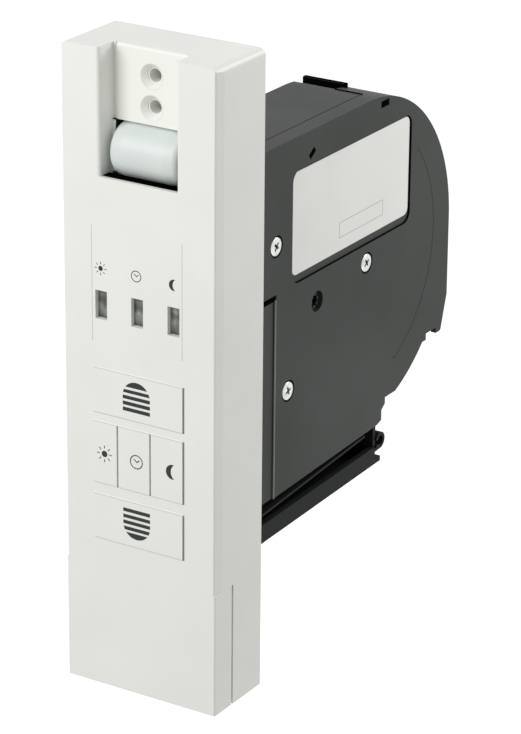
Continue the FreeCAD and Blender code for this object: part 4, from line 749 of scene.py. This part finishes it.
@dataclass
class Symbol:
    """A printed figure around its middle, as outlines of (x, z) in millimetres.

    Args:
        x: its middle along X.
        z: its middle along Z.
        scale: its size, 1 on the keys and less over the lamps.
        stroke: width of the clock's ring at scale 1. Rays and hands are a little thinner.
        arch: half of the width of the shutter's arch.
    """

    x: float
    z: float
    scale: float = 1.0
    stroke: float = 0.34
    arch: float = 5.12

    def spot(self, x: float, z: float) -> Vector:
        """A point of the figure, from its distance to the middle at scale 1."""
        return Vector((self.x + x * self.scale, self.z + z * self.scale))

    def shutter(self, bars: Sequence[Span], upward: bool) -> Outlines:
        """A shutter's curtain: bars inside an arch.

        Args:
            bars: lower and upper edge of each bar.
            upward: whether the arch's round end is at the top.

        Returns:
            One outline for each bar.
        """
        outlines = []
        for bottom, top in bars:
            right = []
            for z in (bottom + (top - bottom) * i / 12 for i in range(13)):
                beyond = max(z - self.z if upward else self.z - z, 0.0)
                reach = math.sqrt(max(self.arch * self.arch - beyond * beyond, 0.0))
                if reach > 1e-3:
                    right.append((self.x + reach, z))
            outlines.append(right + [(2 * self.x - x, z) for x, z in reversed(right)])
        return outlines

    def sun(self) -> Outlines:
        """A dot with eight short rays.

        Returns:
            The outlines of the dot and the rays.
        """
        figures = [arc_points((self.x, self.z), 1.08 * self.scale, 0, 354, 60)]
        for i in range(8):
            along, side = compass(45 * i)
            near, far, side = along * 1.85, along * 2.85, side * self.stroke * 0.42
            figures.append([tuple(self.spot(*p)) for p in (near - side, far - side, far + side, near + side)])
        return figures

    def clock(self) -> Outlines:
        """A ring with two hands.

        Returns:
            The outlines of the ring's halves and the hands.
        """
        middle, outer, inner = (self.x, self.z), 2.42 * self.scale, (2.42 - self.stroke) * self.scale
        figures = [arc_points(middle, outer, start, start + 180, 31)
                   + arc_points(middle, inner, start + 180, start, 31) for start in (0, 180)]
        hub = Vector((0.2, -0.05))
        for end in (Vector((-1.0, 0.95)), Vector((1.15, 0.75))):
            run = (end - hub).normalized() * self.stroke * 0.45
            side = Vector((run.y, -run.x))
            figures.append([tuple(self.spot(*p)) for p in (hub - run + side, end + side, end - side,
                                                           hub - run - side)])
        return figures

    def moon(self) -> Outlines:
        """A crescent open to the right, about the centre of its outer arc.

        Returns:
            Its one outline.
        """
        outer = arc_points((self.x, self.z), 2.5 * self.scale, 78, 282, 41)
        bite = arc_points((self.x + 2.42 * self.scale, self.z), 3.1 * self.scale, 232, 128, 41)
        return [outer + bite[1:-1]]


@dataclass
class FrontPlate(Part):
    """The white plate with its sliding end, frame, roller bracket, keys, symbols and lamps.

    Args:
        face: the plate's front face.
        key_face: the keys' front faces.
        ink: how far printed ink stands off a face.
        up_bars: lower and upper edge of each bar of the shutter on the up key.
        down_bars: the same on the down key.
        grooves: name of each of the two grooves, and its middle along X.
        groove_half: half of a groove's width.
        groove_z: its lower and upper end.
        groove_y: how far behind the face its bed starts and ends.
        keys_x: left and right edge of the keys' windows.
        keys_z: lower and upper edge of each row of windows.
        shade_strip: width of the painted shade right of a window, and its height under it.
        lip: how far the lip over a window stands out, and how high it is.
        floor: the recess's floor, and the frame's face at the lower wall screws.
        wall_screws: heights of the wall screws.
        cone: section of a screw's seat, as (height over the floor, radius).
        lip_x: how far from the middle the recess's lips start and end.
        lip_yz: (y, z) corners of the lips, beside the floor first and at the cheeks second.
    """

    face: float = -27.5
    key_face: float = -28.0
    ink: float = 0.03
    up_bars: tuple[Span, ...] = ((-15.25, -14.0), (-13.2, -11.97), (-11.15, -9.95), (-9.05, -7.93),
                                 (-7.05, -5.01))
    down_bars: tuple[Span, ...] = ((-49.97, -48.74), (-52.12, -50.92), (-54.2, -53.0), (-56.3, -55.08),
                                   (-59.02, -57.06))
    grooves: tuple[tuple[str, float], ...] = (("left", -17.3), ("right", 16.3))
    groove_half: float = 0.19
    groove_z: Span = (6.05, 43.95)
    groove_y: Span = (0.1, 0.29)
    keys_x: Span = (-17.6, 16.6)
    keys_z: tuple[Span, ...] = ((-18.2, -3.0), (-42.4, -21.3), (-61.8, -46.4))
    shade_strip: Span = (0.38, 0.2)
    lip: Span = (0.36, 0.4)
    floor: float = -19.5
    wall_screws: tuple[float, ...] = (92.5, 82.5, -82.5, -92.5)
    cone: Profile = ((-0.03, 4.07), (-1.97, 4.07), (-1.97, 2.6), (-1.75, 2.6), (-0.12, 3.95))
    lip_x: Span = (12.98, 14.12)
    lip_yz: tuple[tuple[Point, Point], ...] = (((-19.42, 77.2), (-16.6, 99.7)),
                                               ((-20.45, 60.3), (-20.03, 76.85)))

    def build(self) -> None:
        """Dresses the plate and prints its symbols."""
        keys = ("up", "sun", "clock", "moon", "down")
        self.dress(WHITE_ABS, "front_cover", "screw_cover", *(f"{key}_key" for key in keys))
        self.dress(FRAME_ABS, "chassis")
        self.dress(BLACK_PA, "roller_bracket", *(f"{key}_plunger" for key in keys))
        self.dress(ACETAL, "deflection_roller")
        self.dress(STEEL, "roller_pin")
        self.symbols()
        self.lamps()
        self.groove_beds()
        self.recess()
        self.key_edges()
        self.seats()

    def symbols(self) -> None:
        """Prints the figures on the keys and over the lamps."""
        keys = {
            "up": Symbol(-0.67, -10.12).shutter(self.up_bars, True),
            "down": Symbol(-0.8, -53.92).shutter(self.down_bars, False),
            "sun": Symbol(-12.95, -31.98).sun(),
            "clock": Symbol(-0.79, -31.98).clock(),
            "moon": Symbol(12.9, -32.2).moon(),
        }
        for name, outlines in keys.items():
            figure = Shape.plate(f"{name}_key_print", "Y", outlines, self.key_face, self.key_face - self.ink)
            self.add(figure, INK, "white_key", f"{name}_key")
        lamps = {"sun": Symbol(-14.1, 30.3, 0.78).sun(), "clock": Symbol(-0.8, 30.3, 0.78).clock(),
                 "moon": Symbol(13.2, 30.2, 0.74).moon()}
        for name, outlines in lamps.items():
            figure = Shape.plate(f"{name}_lamp_print", "Y", outlines, self.face, self.face - self.ink)
            self.add(figure, INK, "white_cover")

    def lamps(self) -> None:
        """Puts a rounded lens in each lamp hole."""
        for name in ("sun", "clock", "moon"):
            low, high = (tuple(1000 * value for value in corner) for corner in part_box(f"{name}_window"))
            lens = Shape.block(f"{name}_lens", low, high, 0.25)
            self.add(lens, LENS, "lamp_window", replaces=(f"{name}_window",))

    def groove_beds(self) -> None:
        """Fills the two grooves up to the shallow hollow that the mould's polish leaves of them."""
        (y0, y1), (z0, z1), half = self.groove_y, self.groove_z, self.groove_half
        for name, x in self.grooves:
            bed = Shape.block(f"{name}_groove_bed", (x - half, self.face + y0, z0),
                              (x + half, self.face + y1, z1), 0.08)
            self.add(bed, WHITE_ABS, "white_cover")

    def key_edges(self) -> None:
        """Lays a grey strip of painted shade right of and under each key's window, and a white lip above it.
        """
        (left, right), (w, h), (proud, rise) = self.keys_x, self.shade_strip, self.lip
        shade_strips, lips = [], []
        for low, high in self.keys_z:
            shade_strips.append([(right, low - h), (right + w, low - h), (right + w, high), (right, high)])
            shade_strips.append([(left, low - h), (right - 0.02, low - h), (right - 0.02, low), (left, low)])
            slope = [(self.face, high), (self.face - proud, high), (self.face, high + rise)]
            lips.append(Shape.plate("lip", "X", [slope], left, right))
        # Grey strips of painted shade along the keys' right and lower edges.
        shade_strip = Shape.plate("key_painted_shade", "Y", shade_strips, self.face, self.face - self.ink)
        self.add(shade_strip, KEY_SHADE, "white_cover")
        self.add(Shape.joined("key_lips", lips), WHITE_ABS, "white_cover")

    def seats(self) -> None:
        """Cones that guide the wall screws' heads into their counterbores."""
        cones = [Shape.lathe(f"seat_{i}", "-Y", (0.0, self.floor, z), self.cone, closed=True)
                 for i, z in enumerate(self.wall_screws)]
        self.add(Shape.joined("wall_screw_seats", cones), WHITE_ABS, "white_frame")

    def recess(self) -> None:
        """Closes the gaps beside the recess's floor and in front of the roller's cheeks with thin white lips,
        and lays a black strip of painted shade under the roller."""
        near, far = self.lip_x
        lips = [((x0, *low), (x1, *high)) for x0, x1 in ((-far, -near), (near, far))
                for low, high in self.lip_yz]
        self.add(Shape.blocks("recess_lips", lips, 0.05), WHITE_ABS, "white_cover")
        # A black strip of painted shade on the sill under the roller.
        roller_shade = Shape.block("roller_painted_shade", (-14.0, -26.1, 60.21), (14.0, -22.6, 60.4), 0.05)
        self.add(roller_shade, SHADE_BLACK, "black_plastic")


@dataclass
class Case(Part):
    """The two dark shells with their screws, the bare label and the cable channel.

    Args:
        outer_x: the right side's outer face.
        seat_x: the faces under the screws' heads.
        axle: (y, z) of the reel's axle.
        screws: (y, z) of each screw, and the angle at which its cross came to rest.
        field_low: (y, z) of the lower front corner of the label's field.
        field_high: (y, z) of its upper rear corner.
        field_round: radius of its corners.
        shade_strip: width of the painted shadow in its edges.
        label_x: the label's outer face.
        entry_low: (y, z) of the lower front corner of the label's empty entry field.
        entry_high: (y, z) of its upper rear corner.
        hairline: width of the entry field's lines.
        hole: (y, z) of the service hole's middle.
        slot: (y, z) of the slanted slot's middle.
        slot_turn: the slot's angle in degrees.
        slot_half: half of its length and half of its width.
        arc_radius: radius of the shallow arc around the axle.
        arc_half: half of the arc's width.
        arc_ends: angles in degrees where the arc starts and ends.
    """

    outer_x: float = 16.7
    seat_x: float = 15.8
    axle: Point = (84.8, 4.2)
    screws: tuple[tuple[Point, float], ...] = (((26.8, 27.2), 50.0), ((35.0, -25.3), 20.0), (axle, 35.0))
    field_low: Point = (36.5, 10.8)
    field_high: Point = (113.5, 49.5)
    field_round: float = 4.0
    shade_strip: float = 0.3
    label_x: float = 16.4
    entry_low: Point = (66.7, 18.3)
    entry_high: Point = (95.3, 23.7)
    hairline: float = 0.16
    hole: Point = (52.6, 0.6)
    slot: Point = (48.2, 52.9)
    slot_turn: float = 34.5
    slot_half: Span = (1.95, 1.0)
    arc_radius: float = 45.2
    arc_half: float = 0.68
    arc_ends: Span = (-63.7, 43.2)

    def build(self) -> None:
        """Dresses the case, drives its screws in and lays painted shade and a painted highlight in its
        openings and edges.
        """
        self.dress(CASE_PA, "left_shell", "right_shell")
        self.dress(CHANNEL_PA, "cable_channel")
        self.dress(LABEL_FILM, "rating_label")
        self.drive_screws()
        self.label_edge()
        self.shades_highlight_and_arc()
        self.release()

    def drive_screws(self) -> None:
        """Puts each screw on a black ring of painted shade, with painted shade in its recess."""
        screw, low = PanScrew(radius=3.2, height=0.95, shank=1.5, length=12.0), self.seat_x
        heads, rings, crosses = [], [], []
        for name, (spot, turn) in zip(("upper", "lower", "axle_screw_turned"), self.screws):
            heads.append(screw.make(name, "X", (low, *spot), turn))
            # A black ring of painted shade around each head.
            rings.append(Shape.ring(f"{name}_shade_ring", "X", (0.0, *spot), low + 0.02, low + 0.4, 3.25, 3.76))
            # A dark cross of painted shade at the bottom of each recess.
            crosses += screw.arms(f"{name}_cross", "X", (low, *spot), screw.height - 0.3, turn)
        self.add(Shape.joined("case_screw_pair", heads[:2]), ZINC, "zinc", replaces=("case_screws",))
        self.add(heads[2], ZINC, "zinc", replaces=("axle_screw",))
        self.add(Shape.joined("case_screw_shade_rings", rings), RING_SHADE, "black_plastic")
        self.add(Shape.joined("case_screw_recess_shades", crosses), RECESS_SHADE, "zinc")

    def label_edge(self) -> None:
        """Lays a dark strip of painted shadow in the lower and rear edges of the label's field, and prints
        the empty entry field on the label."""
        (y0, z0), (y1, z1), r, w = self.field_low, self.field_high, self.field_round, self.shade_strip
        y0 += 0.6
        low, high = (y1 - r, z0 + r), (y1 - r, z1 - r)
        outline = [(y0, z0), *arc_points(low, r, 270, 360, 9), *arc_points(high, r, 0, 62, 7),
                   *arc_points(high, r - w, 62, 0, 7), *arc_points(low, r - w, 360, 270, 9), (y0, z0 + w)]
        # A dark strip of painted shadow along the field's lower and rear edges.
        shade_strip = Shape.plate("label_field_painted_shadow", "X", [outline], self.outer_x - 0.55, self.outer_x - 0.12)
        self.add(shade_strip, SHADE_BLACK, "case_plastic")
        (a0, b0), (a1, b1), h = self.entry_low, self.entry_high, self.hairline
        bars = ((a0, b0, a1, b0 + h), (a0, b1 - h, a1, b1), (a0, b0, a0 + h, b1), (a1 - h, b0, a1, b1))
        lines = [[(left, low), (right, low), (right, high), (left, high)] for left, low, right, high in bars]
        frame = Shape.plate("label_entry_frame", "X", lines, self.label_x, self.label_x + 0.02)
        self.add(frame, LABEL_INK, "label_foil")

    def shades_highlight_and_arc(self) -> None:
        """Lays black painted shade in the slots, the side window, the seam's jog and under the side's step, a
        pale painted highlight on the step's edge, and fills the arc up to a faint hollow."""
        # Black strips of painted shade in the hook slot, the side window, under the side's step and in the
        # seam's jog.
        strips = {
            "hook_slot_painted_shade": (((-16.6, 96.65, 56.7), (-0.8, 96.98, 60.8)),
                                 ((-16.65, 97.02, 60.9), (0.0, 98.55, 60.97)),
                                 ((-0.75, 96.9, 59.2), (-0.01, 96.99, 60.88)),
                                 ((0.01, 97.0, 59.0), (0.05, 98.5, 60.95))),
            "side_window_painted_shade": (((14.75, 92.3, 56.5), (16.4, 97.5, 58.7)),),
            "step_groove_painted_shadow": (((15.32, 0.2, 9.15), (16.0, 26.9, 10.75)),
                                   ((16.1, 0.2, 8.5), (16.15, 26.48, 9.2))),
            "seam_jog_painted_shade": (((-0.3, 90.3, 60.3), (10.35, 90.8, 60.93)),),
        }
        for name, corners in strips.items():
            self.add(Shape.blocks(name, corners, 0.02), SHADE_BLACK, "case_plastic")
        # Black painted shade inside the slanted slot.
        (u, v), (along, across) = self.slot_half, compass(self.slot_turn)
        corners = [tuple(Vector(self.slot) + along * du + across * dv)
                   for du, dv in ((-u, -v), (u, -v), (u, v), (-u, v))]
        self.add(Shape.plate("slant_slot_painted_shade", "X", [corners], 14.8, 16.4), SHADE_BLACK, "case_plastic")
        # A pale strip of painted highlight on the edge of the side's step.
        edge = Shape.block("side_step_highlight", (16.15, 26.5, -61.0), (16.74, 27.05, 9.0), 0.2)
        self.add(edge, EDGE_HIGHLIGHT, "case_plastic")
        start, end = self.arc_ends
        outline = arc_points(self.axle, self.arc_radius + self.arc_half, start, end, 61)
        outline += arc_points(self.axle, self.arc_radius - self.arc_half, end, start, 61)
        bed = Shape.plate("side_arc_bed", "X", [outline], self.outer_x - 0.29, self.outer_x - 0.06)
        self.add(bed, CASE_PA, "case_plastic")

    def release(self) -> None:
        """Builds the splined collar inside the service hole."""
        pieces = [Shape.ring("collar", "X", (0, *self.hole), 14.75, 15.4, 2.3, 3.5)]
        for i in range(6):
            along, side = compass(60 * i + 15)
            root, tip = Vector(self.hole) + along * 2.6, Vector(self.hole) + along * 1.5
            corners = [tuple(p) for p in (root - side * 0.55, root + side * 0.55, tip + side * 0.35,
                                          tip - side * 0.35)]
            pieces.append(Shape.plate(f"spline_{i}", "X", [corners], 14.8, 15.7, 0.1))
        self.add(Shape.joined("release_collar", pieces), BLACK_PA, "black_plastic")


@dataclass
class Drive(Part):
    """The reel, the gears, the worm and the motor inside the case.

    Args:
        motor_top: height of the motor can's top, under its boss.
        motor_low: height of the can's foot.
        motor_radius: radius of the flux ring around the can.
        motor_y: the motor's axis along Y.
        dimples: number of stake marks on the can's top.
        dimple_circle: radius of the circle that they lie on.
        ears: middle of the seat of each bracket screw.
    """

    motor_top: float = -24.03
    motor_low: float = -56.03
    motor_radius: float = 13.3
    motor_y: float = 0.82
    dimples: int = 6
    dimple_circle: float = 9.9
    ears: tuple[Spot, ...] = ((-18.25, -3.7, -17.53), (18.25, -3.7, -17.53))

    def build(self) -> None:
        """Dresses the drive's nodes and turns the motor's can."""
        self.dress(REEL_ACETAL, "belt_reel", "reel_flange", "reel_ring")
        self.dress(GEAR_ACETAL, "drive_gear")
        self.dress(BRASS, "worm", "worm_bush")
        self.dress(STEEL, "belt_hook", "reel_axle", "gear_pin", "motor_shaft")
        self.dress(BLACK_PA, "motor_end_cap")
        self.dress(ZINC_SHEET, "motor_bracket")
        self.dress(FERRITE, "pulse_magnet")
        self.motor()
        screw = PanScrew(radius=2.7, height=1.7, shank=1.3, length=1.5, pitch=0.5, recess=1.5)
        heads = [screw.make(f"ear_{i}", "-Y", seat) for i, seat in enumerate(self.ears)]
        self.add(Shape.joined("bracket_screw_pair", heads), ZINC, "zinc", replaces=("bracket_screws",))

    def motor(self) -> None:
        """The drawn can with its rounded shoulder and boss, and the crimped flux ring around it."""
        low, high, radius = self.motor_low, self.motor_top, self.motor_radius
        skin, shoulder = radius - 0.5, 1.6
        profile = [(low, 0.0), (low, radius - 1.4), *arc_points((low, skin), 0.5, -90, 0, 4)]
        profile += [(low + 4.0, skin), (high - shoulder, skin)]
        profile += arc_points((high - shoulder, skin - shoulder), shoulder, 75, 0, 6)
        profile += [(high, 5.0), (high + 1.7, 5.0), (high + 2.0, 4.7), (high + 2.0, 1.8), (high + 1.4, 1.6),
                    (high + 1.4, 0.0)]
        centre = (0.0, self.motor_y, 0.0)
        self.add(Shape.lathe("motor_can_drawn", "Z", centre, profile, 96), CAN_STEEL, "motor_steel",
                 replaces=("motor",))
        band = Shape.ring("motor_flux_ring", "Z", centre, low + 5.0, high - 5.0, radius - 0.55, radius)
        self.add(band, CAN_STEEL, "motor_steel")
        spots = arc_points((0.0, self.motor_y), self.dimple_circle, 0, 360, self.dimples + 1)[:-1]
        marks = [Shape.ring(f"dimple_{i}", "Z", (*spot, 0.0), high - 0.05, high + 0.12, 0.5, 1.1)
                 for i, spot in enumerate(spots)]
        self.add(Shape.joined("motor_stake_marks", marks), CAN_STEEL, "motor_steel")


@dataclass
class Electronics(Part):
    """The two boards with what is soldered on them, and the terminal block.

    Args:
        front: the control board's front face.
        back: its back face.
        screws_x: places of its screws along X.
        screws_z: their heights.
        lamps_x: places of the three lamps along X.
        lamp_z: the lamps' height.
        lamp_half: half of the side of a lamp's body.
        lamp_face: front face of the lamps' bodies.
        dome: section of a lamp's middle, as (height over that face, radius).
        leg: outline of a leg of the chip, as (x, y).
        legs_z: heights of the legs' middles.
        switches: (x, z) of the middle of each key switch.
        relays_z: height of each relay's lower end.
        can: point on the capacitor's axis that its sections count from.
        sleeve: section of its sleeve, as (distance along X, radius).
        can_top: section of its aluminium top in the same way.
        clamp_x: place of the clamp screws along X.
        clamps_z: their heights.
        clamp_head: section of a clamp screw's head, as (height over its foot, radius).
    """

    front: float = -18.5
    back: float = -16.9
    screws_x: Span = (-19.5, 19.5)
    screws_z: Span = (-62.0, 42.0)
    lamps_x: tuple[float, ...] = (-14.0, -0.5, 13.0)
    lamp_z: float = 18.15
    lamp_half: float = 1.5
    lamp_face: float = -19.7
    dome: Profile = ((-0.3, 0.0), (-0.3, 1.15), (0.0, 1.15), (0.1, 1.1), (0.17, 0.8), (0.2, 0.4),
                     (0.2, 0.0))
    leg: Profile = ((4.9, -15.75), (5.6, -15.75), (6.0, -16.6), (6.6, -16.65), (6.6, -16.88),
                    (5.85, -16.88), (5.45, -16.0), (4.9, -16.0))
    legs_z: tuple[float, ...] = tuple(32.25 + 1.07 * i for i in range(8))
    switches: tuple[Point, ...] = ((-0.5, -10.6), (-12.9, -31.85), (-1.8, -31.85), (10.6, -31.85),
                                   (-0.5, -54.1))
    relays_z: Span = (15.0, 31.0)
    can: Spot = (0.0, -4.0, 41.0)
    sleeve: Profile = ((-12.3, 0.0), (-12.3, 4.6), (-12.0, 4.95), (-10.8, 5.0), (-10.4, 4.6),
                       (-10.0, 5.0), (4.9, 5.0), (5.4, 4.85), (5.65, 4.4), (5.6, 3.9), (5.6, 0.0))
    can_top: Profile = ((5.5, 0.0), (5.5, 3.95), (5.68, 3.9), (5.7, 3.7), (5.7, 0.0))
    clamp_x: float = 21.3
    clamps_z: tuple[float, ...] = (-92.0, -86.0, -80.0)
    clamp_head: Profile = ((0.0, 0.0), (0.0, 1.5), (2.6, 1.5), (2.8, 1.3), (2.8, 0.0))

    def build(self) -> None:
        """Dresses the boards and builds what stands on them."""
        self.dress(CIRCUIT, "control_board", "power_board")
        self.dress(BLACK_PA, "key_switches", "controller_chip")
        self.dress(TERMINAL_PA, "terminal_block")
        screw = PanScrew(radius=2.7, height=1.7, shank=1.3, length=8.0, pitch=0.8, recess=1.5)
        heads = [screw.make(f"board_{x}_{z}", "-Y", (x, self.front, z))
                 for x in self.screws_x for z in self.screws_z]
        self.add(Shape.joined("board_screw_set", heads), ZINC, "zinc", replaces=("board_screws",))
        self.lamps()
        self.legs()
        self.transformer()
        self.relays()
        self.capacitor()
        self.clamps()

    def lamps(self) -> None:
        """White lamp bodies with a round yellow middle."""
        half, y, z = self.lamp_half, self.lamp_face, self.lamp_z
        bodies = [((x - half, y, z - half), (x + half, self.front, z + half)) for x in self.lamps_x]
        self.add(Shape.blocks("lamp_bodies", bodies, 0.25), LAMP_BODY, "lamp_body",
                 replaces=("indicator_leds",))
        domes = [Shape.lathe(f"dome_{x}", "-Y", (x, y, z), self.dome, 32) for x in self.lamps_x]
        self.add(Shape.joined("lamp_domes", domes), LAMP_EPOXY, "lamp_body")

    def legs(self) -> None:
        """Tinned legs of the chip and the key switches, and small parts around the chip."""
        sides = [[(side * x, y) for x, y in self.leg] for side in (-1, 1)]
        legs = [Shape.plate(f"leg_{z}", "Z", sides, z - 0.2, z + 0.2) for z in self.legs_z]
        self.add(Shape.joined("chip_legs", legs), TIN, "circuit_board")
        feet = [((x + dx - 0.35, -19.6, z + dz - 0.35), (x + dx + 0.35, self.front, z + dz + 0.35))
                for x, z in self.switches for dx in (-2.2, 2.2) for dz in (-3.35, 3.35)]
        self.add(Shape.blocks("switch_feet", feet, 0.1, 2), TIN, "circuit_board")
        chips, ends = [], []
        for x, z in ((-13.0 + 4.3 * i, 26.5 if i % 2 else 24.0) for i in range(7)):
            chips.append(((x, self.back, z), (x + 1.4, -16.4, z + 0.9)))
            ends += [((end, self.back, z - 0.02), (end + 0.35, -16.36, z + 0.92))
                     for end in (x - 0.25, x + 1.3)]
        self.add(Shape.blocks("board_resistors", chips, 0.08, 2), BLACK_PA, "black_plastic")
        self.add(Shape.blocks("resistor_ends", ends, 0.06, 2), TIN, "circuit_board")

    def transformer(self) -> None:
        """Laminated core around a bobbin with its copper winding."""
        core = Shape.block("transformer_core", (-9.6, -10.0, 16.0), (2.0, 6.0, 34.0), 0.3)
        window = Shape.block("core_window", (-20.0, -7.0, 19.0), (20.0, 3.0, 31.0), 0.2)
        self.add(Shape.carved(core, window), CORE_SHEET, "transformer_block", replaces=("transformer",))
        flanges = Shape.blocks("flanges", [((x, -7.6, 18.4), (x + 1.0, 3.6, 31.6)) for x in (-12.3, 3.7)],
                               0.25)
        strip = Shape.block("pin_strip", (-12.3, -7.0, 19.0), (4.0, 3.0, 20.0), 0.2)
        self.add(Shape.joined("transformer_bobbin", [flanges, strip]), BLACK_PA, "black_plastic")
        winding = Shape.block("transformer_winding", (-11.4, -6.7, 20.0), (3.75, 2.7, 30.7), 1.6, 4)
        self.add(winding, WINDING, "transformer_block")

    def relays(self) -> None:
        """Two sealed relay cases with a foot and a vent pip."""
        cases = []
        for z in self.relays_z:
            cases.append(Shape.block("relay", (-11.6, 9.15, z + 0.15), (2.7, 18.85, z + 13.85), 0.6))
            cases.append(Shape.block("relay_foot", (-12.3, 9.0, z), (-10.8, 19.0, z + 14.0), 0.2))
            cases.append(Shape.ring("relay_pip", "X", (0, 17.2, z + 2.0), 2.6, 2.72, 0.35, 0.6))
        self.add(Shape.joined("relay_cases", cases), RELAY_PBT, "relay_block", replaces=("relays",))

    def capacitor(self) -> None:
        """Sleeved capacitor with a beaded shoulder and a scored aluminium top."""
        _, y, z = self.can
        self.add(Shape.lathe("capacitor_sleeve", "X", self.can, self.sleeve), SLEEVE, "black_plastic",
                 replaces=("capacitor",))
        top = Shape.lathe("capacitor_top", "X", self.can, self.can_top)
        for wide, tall in ((2.6, 0.15), (0.15, 2.6)):
            score = Shape.block("score", (5.62, y - wide, z - tall), (6.0, y + wide, z + tall), 0.0)
            Shape.carved(top, score)
        self.add(top, ALUMINIUM, "motor_steel")

    def clamps(self) -> None:
        """Slotted brass clamp screws in the terminal block."""
        x, screws = self.clamp_x, []
        for z in self.clamps_z:
            head = Shape.lathe(f"clamp_{z}", "-Y", (x, -7.3, z), self.clamp_head, 40)
            slot = Shape.block("slot", (x - 2.0, -10.5, z - 0.25), (x + 2.0, -9.4, z + 0.25), 0.0)
            screws.append(Shape.carved(head, slot))
        self.add(Shape.joined("clamp_screws", screws), BRASS, "terminal_plastic")


@dataclass
class Studio:
    """The camera that took the photograph, soft lamps, and a pale floor and backdrop.

    Args:
        azimuth: degrees that the camera stands round to the right.
        elevation: degrees that it stands above the part.
        roll: degrees that it leans.
        focal_px: focal length in pixels of the photograph.
        frame_px: the photograph's width and height in pixels.
        sensor_mm: width of the camera's sensor.
        spot: the camera's place.
        aim: the point that the lamps face.
        floor: the floor's height.
        floor_half: half of the floor's side.
        sky: strength of the world's light.
        floor_glow: strength of the glow that makes the floor white to the camera.
    """

    azimuth: float = 31.812817
    elevation: float = 21.756704
    roll: float = 0.519408
    focal_px: float = 3269.7968
    frame_px: tuple[int, int] = (521, 734)
    sensor_mm: float = 36.0
    spot: Spot = (531.6148, -812.4332, 378.8125)
    aim: Spot = (0.0, 50.0, 0.0)
    floor: float = -420.0
    floor_half: float = 6000.0
    sky: float = 0.495
    floor_glow: float = 0.62

    def build(self) -> None:
        """Sets the stage."""
        self.camera()
        self.world()
        self.floor_sheet()
        self.lamp("key", (-260, -600, 410), 380, 3.5)
        self.lamp("side", (270, 350, 290), 200, 1.25)
        bpy.context.scene.view_settings.view_transform = "Standard"

    def camera(self) -> None:
        """Places the camera."""
        data = bpy.data.cameras.new("camera")
        data.sensor_width = self.sensor_mm
        data.lens = self.focal_px * self.sensor_mm / max(self.frame_px)
        camera = bpy.data.objects.new("camera", data)
        camera.matrix_world = (Matrix.Translation(mm(*self.spot))
                               @ Matrix.Rotation(math.radians(self.azimuth), 4, "Z")
                               @ Matrix.Rotation(math.radians(90 - self.elevation), 4, "X")
                               @ Matrix.Rotation(math.radians(self.roll), 4, "Z"))
        bpy.context.scene.collection.objects.link(camera)
        bpy.context.scene.camera = camera

    @staticmethod
    def seen(tree: Tree) -> Socket:
        """1 where the camera looks, straight, in a reflection or through glass.

        Args:
            tree: the node tree to add to.

        Returns:
            A socket with 1 or 0.
        """
        path = add_node(tree, "ShaderNodeLightPath").outputs
        straight = add_node(tree, "ShaderNodeMath", {0: path["Is Camera Ray"], 1: path["Is Glossy Ray"]},
                            operation="MAXIMUM")
        return add_node(tree, "ShaderNodeMath", {0: straight.outputs[0], 1: path["Is Transmission Ray"]},
                        operation="MAXIMUM").outputs[0]

    def world(self) -> None:
        """An even grey light that the camera and reflections see as white."""
        world = bpy.data.worlds.new("studio")
        tree = empty_tree(world)
        light, white = (add_node(tree, "ShaderNodeBackground", {"Color": linear("FFFFFF"), "Strength": power})
                        for power in (self.sky, 1.0))
        mixed = add_node(tree, "ShaderNodeMixShader", {
            0: self.seen(tree), 1: light.outputs[0], 2: white.outputs[0]})
        add_node(tree, "ShaderNodeOutputWorld", {"Surface": mixed.outputs[0]})
        bpy.context.scene.world = world

    def floor_sheet(self) -> None:
        """A pale sheet far enough below that its shadow stays soft. Its underside lets the eye
        through, so that the part can be looked at from below."""
        mesh, side = bmesh.new(), self.floor_half
        mesh.faces.new([mesh.verts.new(mm(x * side, y * side, self.floor))
                        for x, y in ((-1, -1), (1, -1), (1, 1), (-1, 1))])
        sheet = Shape.finished("floor_sheet", mesh)
        material = bpy.data.materials.new("paper_sweep")
        tree = empty_tree(material)
        matt = add_node(tree, "ShaderNodeBsdfDiffuse", {"Color": linear("F2F2F0")}).outputs[0]
        white = add_node(tree, "ShaderNodeEmission", {"Color": linear("FFFFFF"), "Strength": self.floor_glow})
        lit = add_node(tree, "ShaderNodeAddShader", {0: matt, 1: white.outputs[0]})
        both = add_node(tree, "ShaderNodeMixShader", {0: self.seen(tree), 1: matt, 2: lit.outputs[0]})
        clear = add_node(tree, "ShaderNodeBsdfTransparent")
        under = add_node(tree, "ShaderNodeNewGeometry").outputs["Backfacing"]
        sides = add_node(tree, "ShaderNodeMixShader", {0: under, 1: both.outputs[0], 2: clear.outputs[0]})
        add_node(tree, "ShaderNodeOutputMaterial", {"Surface": sides.outputs[0]})
        sheet.data.materials.append(material)

    def lamp(self, name: str, spot: Spot, size: float, power: float) -> None:
        """A square soft lamp that points at the part.

        Args:
            name: the lamp's name.
            spot: its place in millimetres.
            size: its side in millimetres.
            power: its power in watts.
        """
        data = bpy.data.lights.new(name, "AREA")
        data.size = size * 0.001
        data.energy = power
        lamp = bpy.data.objects.new(name, data)
        lamp.location = mm(*spot)
        lamp.rotation_euler = (mm(*self.aim) - lamp.location).to_track_quat("-Z", "Y").to_euler()
        bpy.context.scene.collection.objects.link(lamp)


def main() -> None:
    """Builds the sub-assemblies in order and logs how many pieces each adds."""
    logging.basicConfig(level=logging.INFO, format="%(name)s: %(message)s")
    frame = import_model()
    NODES.update(frame["nodes"])
    for assembly in (FrontPlate(), Case(), Drive(), Electronics()):
        assembly.build()
        LOG.info("%s done, %d own pieces", type(assembly).__name__, len(assembly.pieces))
    Studio().build()


if __name__ == "__main__":
    main()
